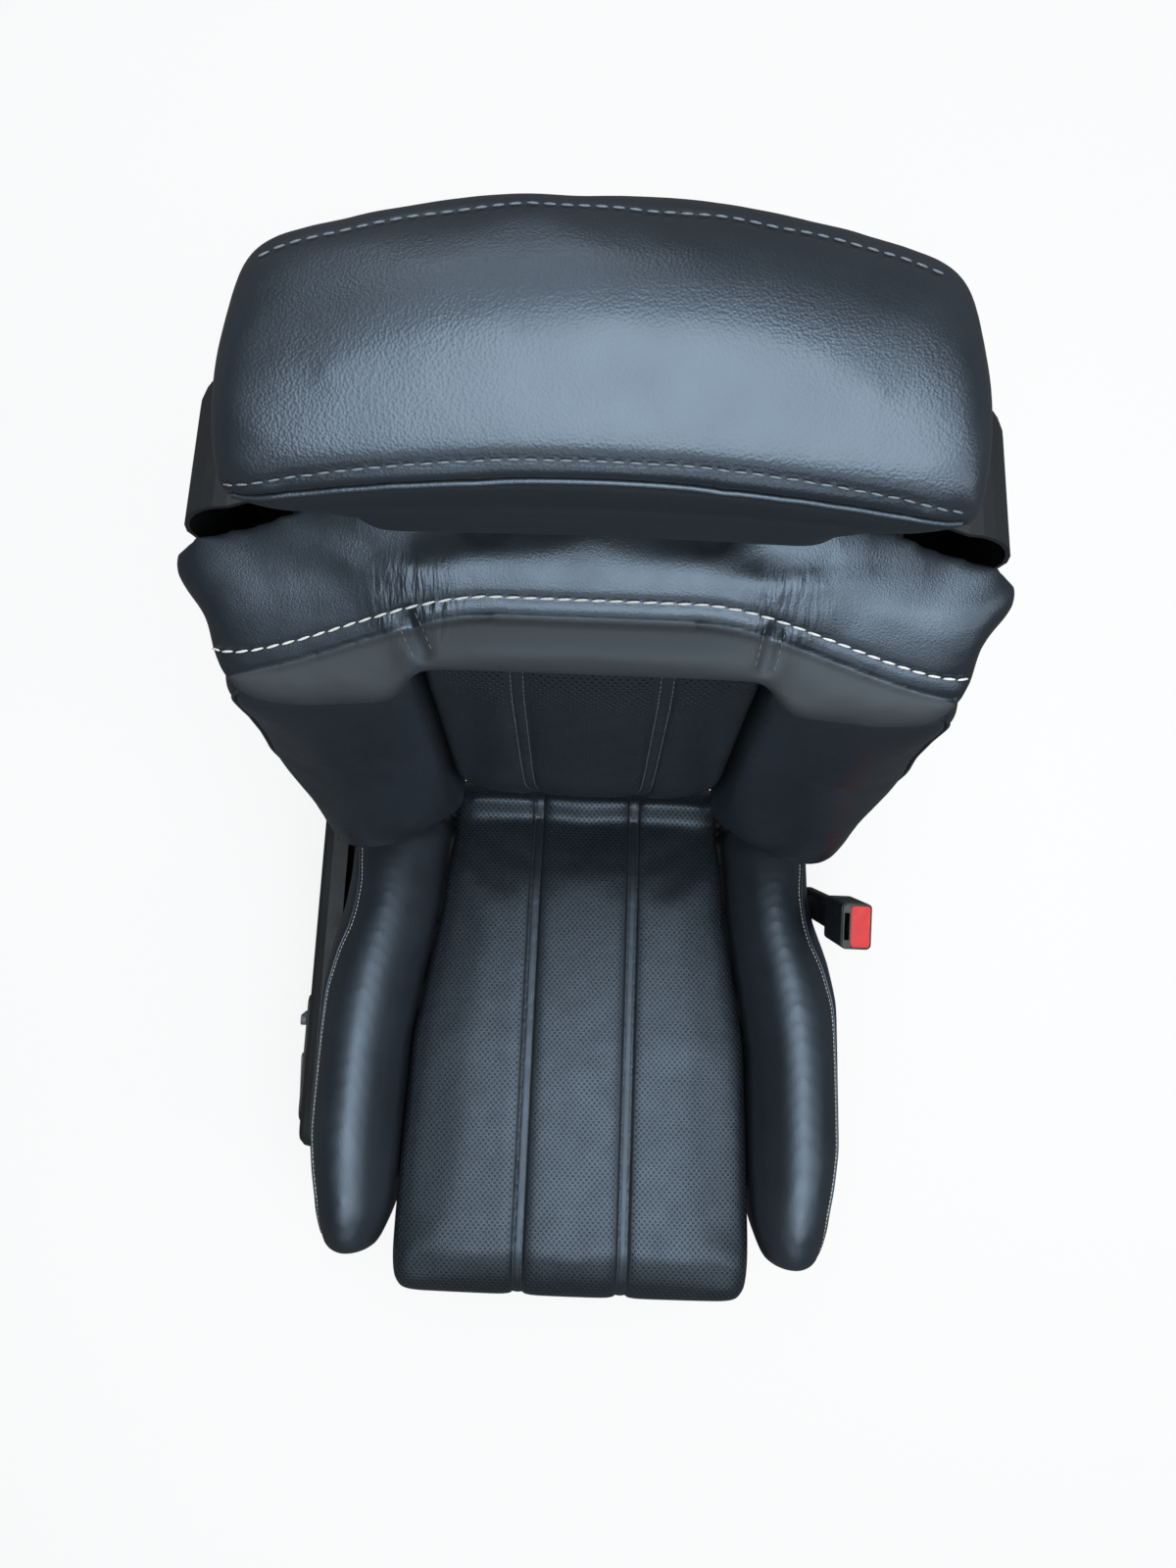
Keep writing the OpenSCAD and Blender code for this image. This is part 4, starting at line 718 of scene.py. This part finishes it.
# ---- Backrest panel ---------------------------------------------------------------------
# Perforated leather over moulded foam, tied down to the backrest's wires, with the same two
# channels running up over the lumbar bulge.
lean, recline_y, recline_z = math.radians(15), 0.185, 0.185


def on_back(x, v, w):
    """The point at x, v behind and w above the recline axis, in the backrest's own lean."""
    return Vector((
        x, recline_y + v * math.cos(lean) + w * math.sin(lean),
        recline_z - v * math.sin(lean) + w * math.cos(lean)))


back_way = on_back(0, 1, 0) - on_back(0, 0, 0)
up_way = on_back(0, 0, 1) - on_back(0, 0, 0)


def from_back(p):
    """x, v and w of a point."""
    moved = p - on_back(0, 0, 0)
    return p.x, moved.dot(back_way), moved.dot(up_way)


def back_held(p, n):
    """Tied down at the wires, and at the sides where the bolsters press on it."""
    x, v, _ = from_back(p)
    tied_depth, side_from = -0.06, 0.09
    return 1.0 if v > tied_depth else abs(n.x) ** 2 * (1 if abs(x) > side_from else 0)


def back_track(surface, x):
    """A line at x up the panel."""
    return lay(surface, [(on_back(x, -0.3, w), back_way) for w in steps(0.050, 0.518)])


back_leather = perforated("back_leather", (lean - math.pi / 2, 0, 0), channel)
back_panel = sewn_cover("back_panel_pad", "back_panel", back_held, voxel=0.0055, swell=0.004)
back_rows = sew_channels(back_panel, back_track)
finish_pad(back_panel, "back_panel_pad", back_leather, "backrest")
stitches(
    "back_panel_stitches", back_rows, grey_thread, "backrest", "thread_grey", **fine_stitch)


# ---- Backrest bolsters ------------------------------------------------------------------
# Deep foam wings at the waist in smooth leather, clipped to the side plates, with a piped
# seam along the outer edge.
def wing_held(p, n):
    """Clipped at the rear, and firm on the side towards the panel."""
    _, v, _ = from_back(p)
    inward = -n.x if p.x > 0 else n.x
    return 1.0 if v > -0.04 else max(0, inward) ** 2


for side, word in ((-1, "left"), (1, "right")):
    wing = sewn_cover(
        f"back_bolster_{word}", f"back_wing_{word}", wing_held, voxel=0.0055, swell=0.005)
    seam = lay(surface_of(wing), [
        (on_back(side * outboard, -0.098, w), (-side, 0, 0)) for w in steps(0.096, 0.480)])
    draw_in(wing, [seam], seam_width, depth=0.0020)
    finish_pad(
        wing, f"back_bolster_{word}", smooth_leather, "backrest")
    piping(
        f"back_wing_piping_{word}", [seam], smooth_leather, "backrest",
        radius=piping_radius)

# ---- Shoulder section -------------------------------------------------------------------
# Leather collar in three lobes over foam on the hinged carrier; a bold white contrast stitch
# runs along its front edge and the leather turns under below it.
carrier_end, carrier_top_w, wadding_thick, wadding_reach = 0.132, 0.585, 0.0045, 0.055
lobe_half, wing_run = 0.060, 0.190
turn_depth, turn_height, turn_depth_end, turn_height_end = -0.077, 0.580, -0.109, 0.546


def collar_held(p, n):
    """Tucked in at the rear and below; free on top and along the front."""
    _, v, w = from_back(p)
    return 1.0 if v > -0.03 and w < 0.6 else 0.0


def collar_wadding(p, n):
    """Thickens the foam over the carrier's ends, where the block alone is thin."""
    x, v, w = from_back(p)
    upward = n.dot(up_way)
    if v < -0.09 or w < carrier_top_w:
        return up_way * 0
    if upward < -0.5:
        return up_way * -wadding_thick
    over_end = max(0, 1 - ((abs(x) - carrier_end) / wadding_reach) ** 2)
    return up_way * wadding_thick * over_end * max(0, upward)


collar = sewn_cover(
    "shoulder_pad", "collar", collar_held, voxel=0.0045, swell=0.004, wadding=collar_wadding)
collar_surface = surface_of(collar)


def ease(t):
    """0 to 1 with a gentle start and end."""
    t = min(1, max(0, t))
    return t * t * (3 - 2 * t)


def along_wing(x):
    """0 on the middle lobe, rising to 1 at the collar's tips."""
    return ease((abs(x) - lobe_half) / wing_run)


def collar_line(depth, height, depth_end, height_end, reach):
    """A line over the collar that follows its wings down and forwards."""
    line = []
    for x in steps(-reach, reach):
        out = along_wing(x)
        v = depth + (depth_end - depth) * out
        w = height + (height_end - height) * out
        near, normal, _, _ = collar_surface.find_nearest(on_back(x, v, w))
        line.append((near, normal))
    return line


def valley(rear_x, front_x):
    """The fold between two lobes, from its rear end down to the front."""
    rear_v, front_v, above = -0.081, -0.115, 0.7
    return lay(collar_surface, [
        (on_back(rear_x + (front_x - rear_x) * t, rear_v + (front_v - rear_v) * t, above), -up_way)
        for t in (0, 0.2, 0.4, 0.6, 0.8, 1)])


collar_stitch = collar_line(-0.066, 0.588, -0.097, 0.553, 0.246)
collar_turn = collar_line(turn_depth, turn_height, turn_depth_end, turn_height_end, 0.240)
draw_in(collar, [collar_stitch], width=0.0025, depth=0.0012)
draw_in(collar, [collar_turn], width=0.0026, depth=0.0028)
valleys = [valley(-0.116, -0.098), valley(0.112, 0.104)]
draw_in(collar, valleys, width=0.0060, depth=0.0045)
creased = surface_of(collar)
valley_rows = [beside(creased, fold, side * 0.0058) for fold in valleys for side in (-1, 1)]


def paint_light_beyond_seam(piece, finish, name, depth_beyond, colour, roughness):
    """Paints the part of the cover beyond a seam with its own painted colour and its own
    roughness.

    depth_beyond gives how far beyond the seam a place lies, below zero on the near side; the
    attribute holds that in millimetres, and the painted colour meets the leather within edge_half
    of it.
    """
    edge_half = 0.4
    tree, shader = finish.node_tree, finish.node_tree.nodes["Principled BSDF"]
    beyond = piece.data.attributes.new(name, "FLOAT", "POINT")
    for v in piece.data.vertices:
        beyond.data[v.index].value = depth_beyond(*from_back(v.co)) * 1000
    marked = tree.nodes.new("ShaderNodeAttribute")
    marked.attribute_name = name
    edge = tree.nodes.new("ShaderNodeMapRange")
    edge.inputs["From Min"].default_value = -edge_half
    edge.inputs["From Max"].default_value = edge_half
    tree.links.new(marked.outputs["Fac"], edge.inputs["Value"])
    swap(tree, shader.inputs["Base Color"], (*colour, 1), edge.outputs[0])
    swap(tree, shader.inputs["Roughness"], roughness, edge.outputs[0])


far_side = -0.009


def collar_beyond(x, v, w):
    """How far forward of the turn a place lies; the collar's top is all on the near side."""
    turn = turn_depth + (turn_depth_end - turn_depth) * along_wing(x)
    return turn - v if w < 0.6 else far_side


collar_leather, tree, shader, place, relief = leather(
    "collar_leather", leather_dark, leather_light, satin=0.31)
# Below the turn the leather is made matte, and its lighter warm grey is painted reflected light
# from the floor on the down-facing strip.
paint_light_beyond_seam(
    collar, collar_leather, "painted_bounce_below_turn", collar_beyond,
    colour=(0.026, 0.026, 0.024), roughness=0.72)
pucker_near, pucker_far, pucker_depth = 0.010, 0.038, 0.0016
for x in (-0.110, 0.112):
    spot = tree.nodes.new("ShaderNodeVectorMath")
    spot.operation = "DISTANCE"
    spot.inputs[1].default_value = on_back(x, -0.070, 0.583)
    tree.links.new(place, spot.inputs[0])
    near = tree.nodes.new("ShaderNodeMapRange")
    near.inputs["From Min"].default_value = pucker_near
    near.inputs["From Max"].default_value = pucker_far
    near.inputs["To Min"].default_value = 1.0
    near.inputs["To Max"].default_value = 0.0
    tree.links.new(spot.outputs["Value"], near.inputs["Value"])
    stretch = tree.nodes.new("ShaderNodeMapping")
    stretch.inputs["Rotation"].default_value = (0, 0, math.radians(-25 if x < 0 else 25))
    stretch.inputs["Scale"].default_value = (230, 45, 60)
    tree.links.new(place, stretch.inputs["Vector"])
    pucker = tree.nodes.new("ShaderNodeTexNoise")
    pucker.inputs["Scale"].default_value = 1.0
    tree.links.new(stretch.outputs[0], pucker.inputs["Vector"])
    height = tree.nodes.new("ShaderNodeMath")
    height.operation = "MULTIPLY"
    tree.links.new(pucker.outputs["Fac"], height.inputs[0])
    tree.links.new(near.outputs[0], height.inputs[1])
    relief = emboss(tree, height.outputs[0], pucker_depth, shader, relief)
finish_pad(collar, "shoulder_pad", collar_leather, "shoulder")
stitches(
    "collar_stitches", [collar_stitch], white_thread, "shoulder", "thread_white",
    pitch=0.0105, length=0.0092, radius=0.0009, lift=0.0003, slant=0.08)
stitches(
    "collar_valley_stitches", valley_rows, grey_thread, "shoulder", "thread_grey",
    pitch=0.0052, length=0.0040, radius=0.00045)

# ---- Shoulder gaiter --------------------------------------------------------------------
# Black woven cloth in three pleats, stapled to the backrest's foam below and tucked into the
# shoulder section above, so that no gap opens while that section tilts.
gaiter_width, gaiter_depth, gaiter_low, gaiter_high = 0.452, -0.047, 0.512, 0.556
pleat, pleat_count = 0.0030, 3
middle_half, middle_blend, side_drop = 0.112, 0.014, 0.034
pleats = bmesh.new()
bmesh.ops.create_grid(pleats, x_segments=76, y_segments=24, size=0.5)
for v in pleats.verts:
    x, t = v.co.x * gaiter_width, v.co.y + 0.5
    drop = side_drop * ease((abs(x) - middle_half) / middle_blend)
    low, high = gaiter_low - drop, gaiter_high - drop
    wave = pleat * math.cos(t * pleat_count * 2 * math.pi)
    v.co = on_back(x, gaiter_depth + wave, low + (high - low) * t)
bmesh.ops.recalc_face_normals(pleats, faces=pleats.faces)
gaiter_mesh = bpy.data.meshes.new("shoulder_gaiter")
gaiter_area = sum(face.calc_area() for face in pleats.faces)
pleats.to_mesh(gaiter_mesh)
pleats.free()
for face in gaiter_mesh.polygons:
    face.use_smooth = True
gaiter_cloth, tree, shader, place = new_finish("gaiter_cloth", (0.010, 0.010, 0.011), 0.85)
tint(tree, speckle(tree, place, 30), (0.008, 0.008, 0.009), (0.013, 0.013, 0.014), shader)
weave = tree.nodes.new("ShaderNodeTexChecker")
weave.inputs["Scale"].default_value = 1400
tree.links.new(place, weave.inputs["Vector"])
emboss(tree, weave.outputs["Fac"], 0.0002, shader)
gaiter_mesh.materials.append(gaiter_cloth)
gaiter = bpy.data.objects.new("shoulder_gaiter", gaiter_mesh)
bpy.context.scene.collection.objects.link(gaiter)
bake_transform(gaiter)

# ---- Headrest ---------------------------------------------------------------------------
# Foam block on the bent tube, covered in leather: a top panel between two stitched seams,
# a piped lip along the front and a hollowed face under it.
head_half, lip_height, lip_drop = 0.152, 0.848, 0.016


def head_held(p, n):
    """Held by the base trim at its lower end."""
    _, _, w = from_back(p)
    return 1.0 if w < 0.67 else 0.0


head = sewn_cover("headrest_pad", "headrest_cover", head_held, voxel=0.005, swell=0.004)
head_surface = surface_of(head)


def head_line(depth, height, reach, bow, drop=0):
    """A line across the headrest that bows forwards by bow and down by drop at its sides."""
    line = []
    for x in steps(-reach, reach):
        out = (x / head_half) ** 2
        near, normal, _, _ = head_surface.find_nearest(
            on_back(x, depth - bow * out, height - drop * out))
        line.append((near, normal))
    return line


def head_beyond(x, v, w):
    """How far below the front lip a place lies; the rear half is all on the near side."""
    return lip_height - lip_drop * (x / head_half) ** 2 - w if v < -0.05 else far_side


head_front = head_line(-0.134, 0.860, 0.147, 0.011, lip_drop)
head_rear = head_line(-0.027, 0.884, 0.139, 0.024)
head_lip = head_line(-0.143, lip_height, 0.149, 0.010, lip_drop)
draw_in(head, [head_front, head_rear], width=0.0025, depth=0.0010)
draw_in(head, [head_lip], width=0.0025, depth=0.0018)
head_leather, *_ = leather("head_leather", leather_dark, leather_light, satin=0.32)
# Below the lip the face is painted near-black: painted shade of the recess under the lip, on the
# same leather, made matte.
paint_light_beyond_seam(
    head, head_leather, "painted_shade_below_lip", head_beyond, colour=(0.007, 0.008, 0.009), roughness=0.66)
finish_pad(head, "headrest_pad", head_leather, "headrest")
stitches(
    "headrest_stitches", [head_front, head_rear], grey_thread, "headrest", "thread_grey",
    pitch=0.0066, length=0.0050, radius=0.00055, lift=0.0002)
piping(
    "headrest_piping", [head_lip], smooth_leather, "headrest", radius=0.0014)

# ---- Finish -----------------------------------------------------------------------------
# Plain view settings.
bpy.context.scene.view_settings.view_transform = "Standard"
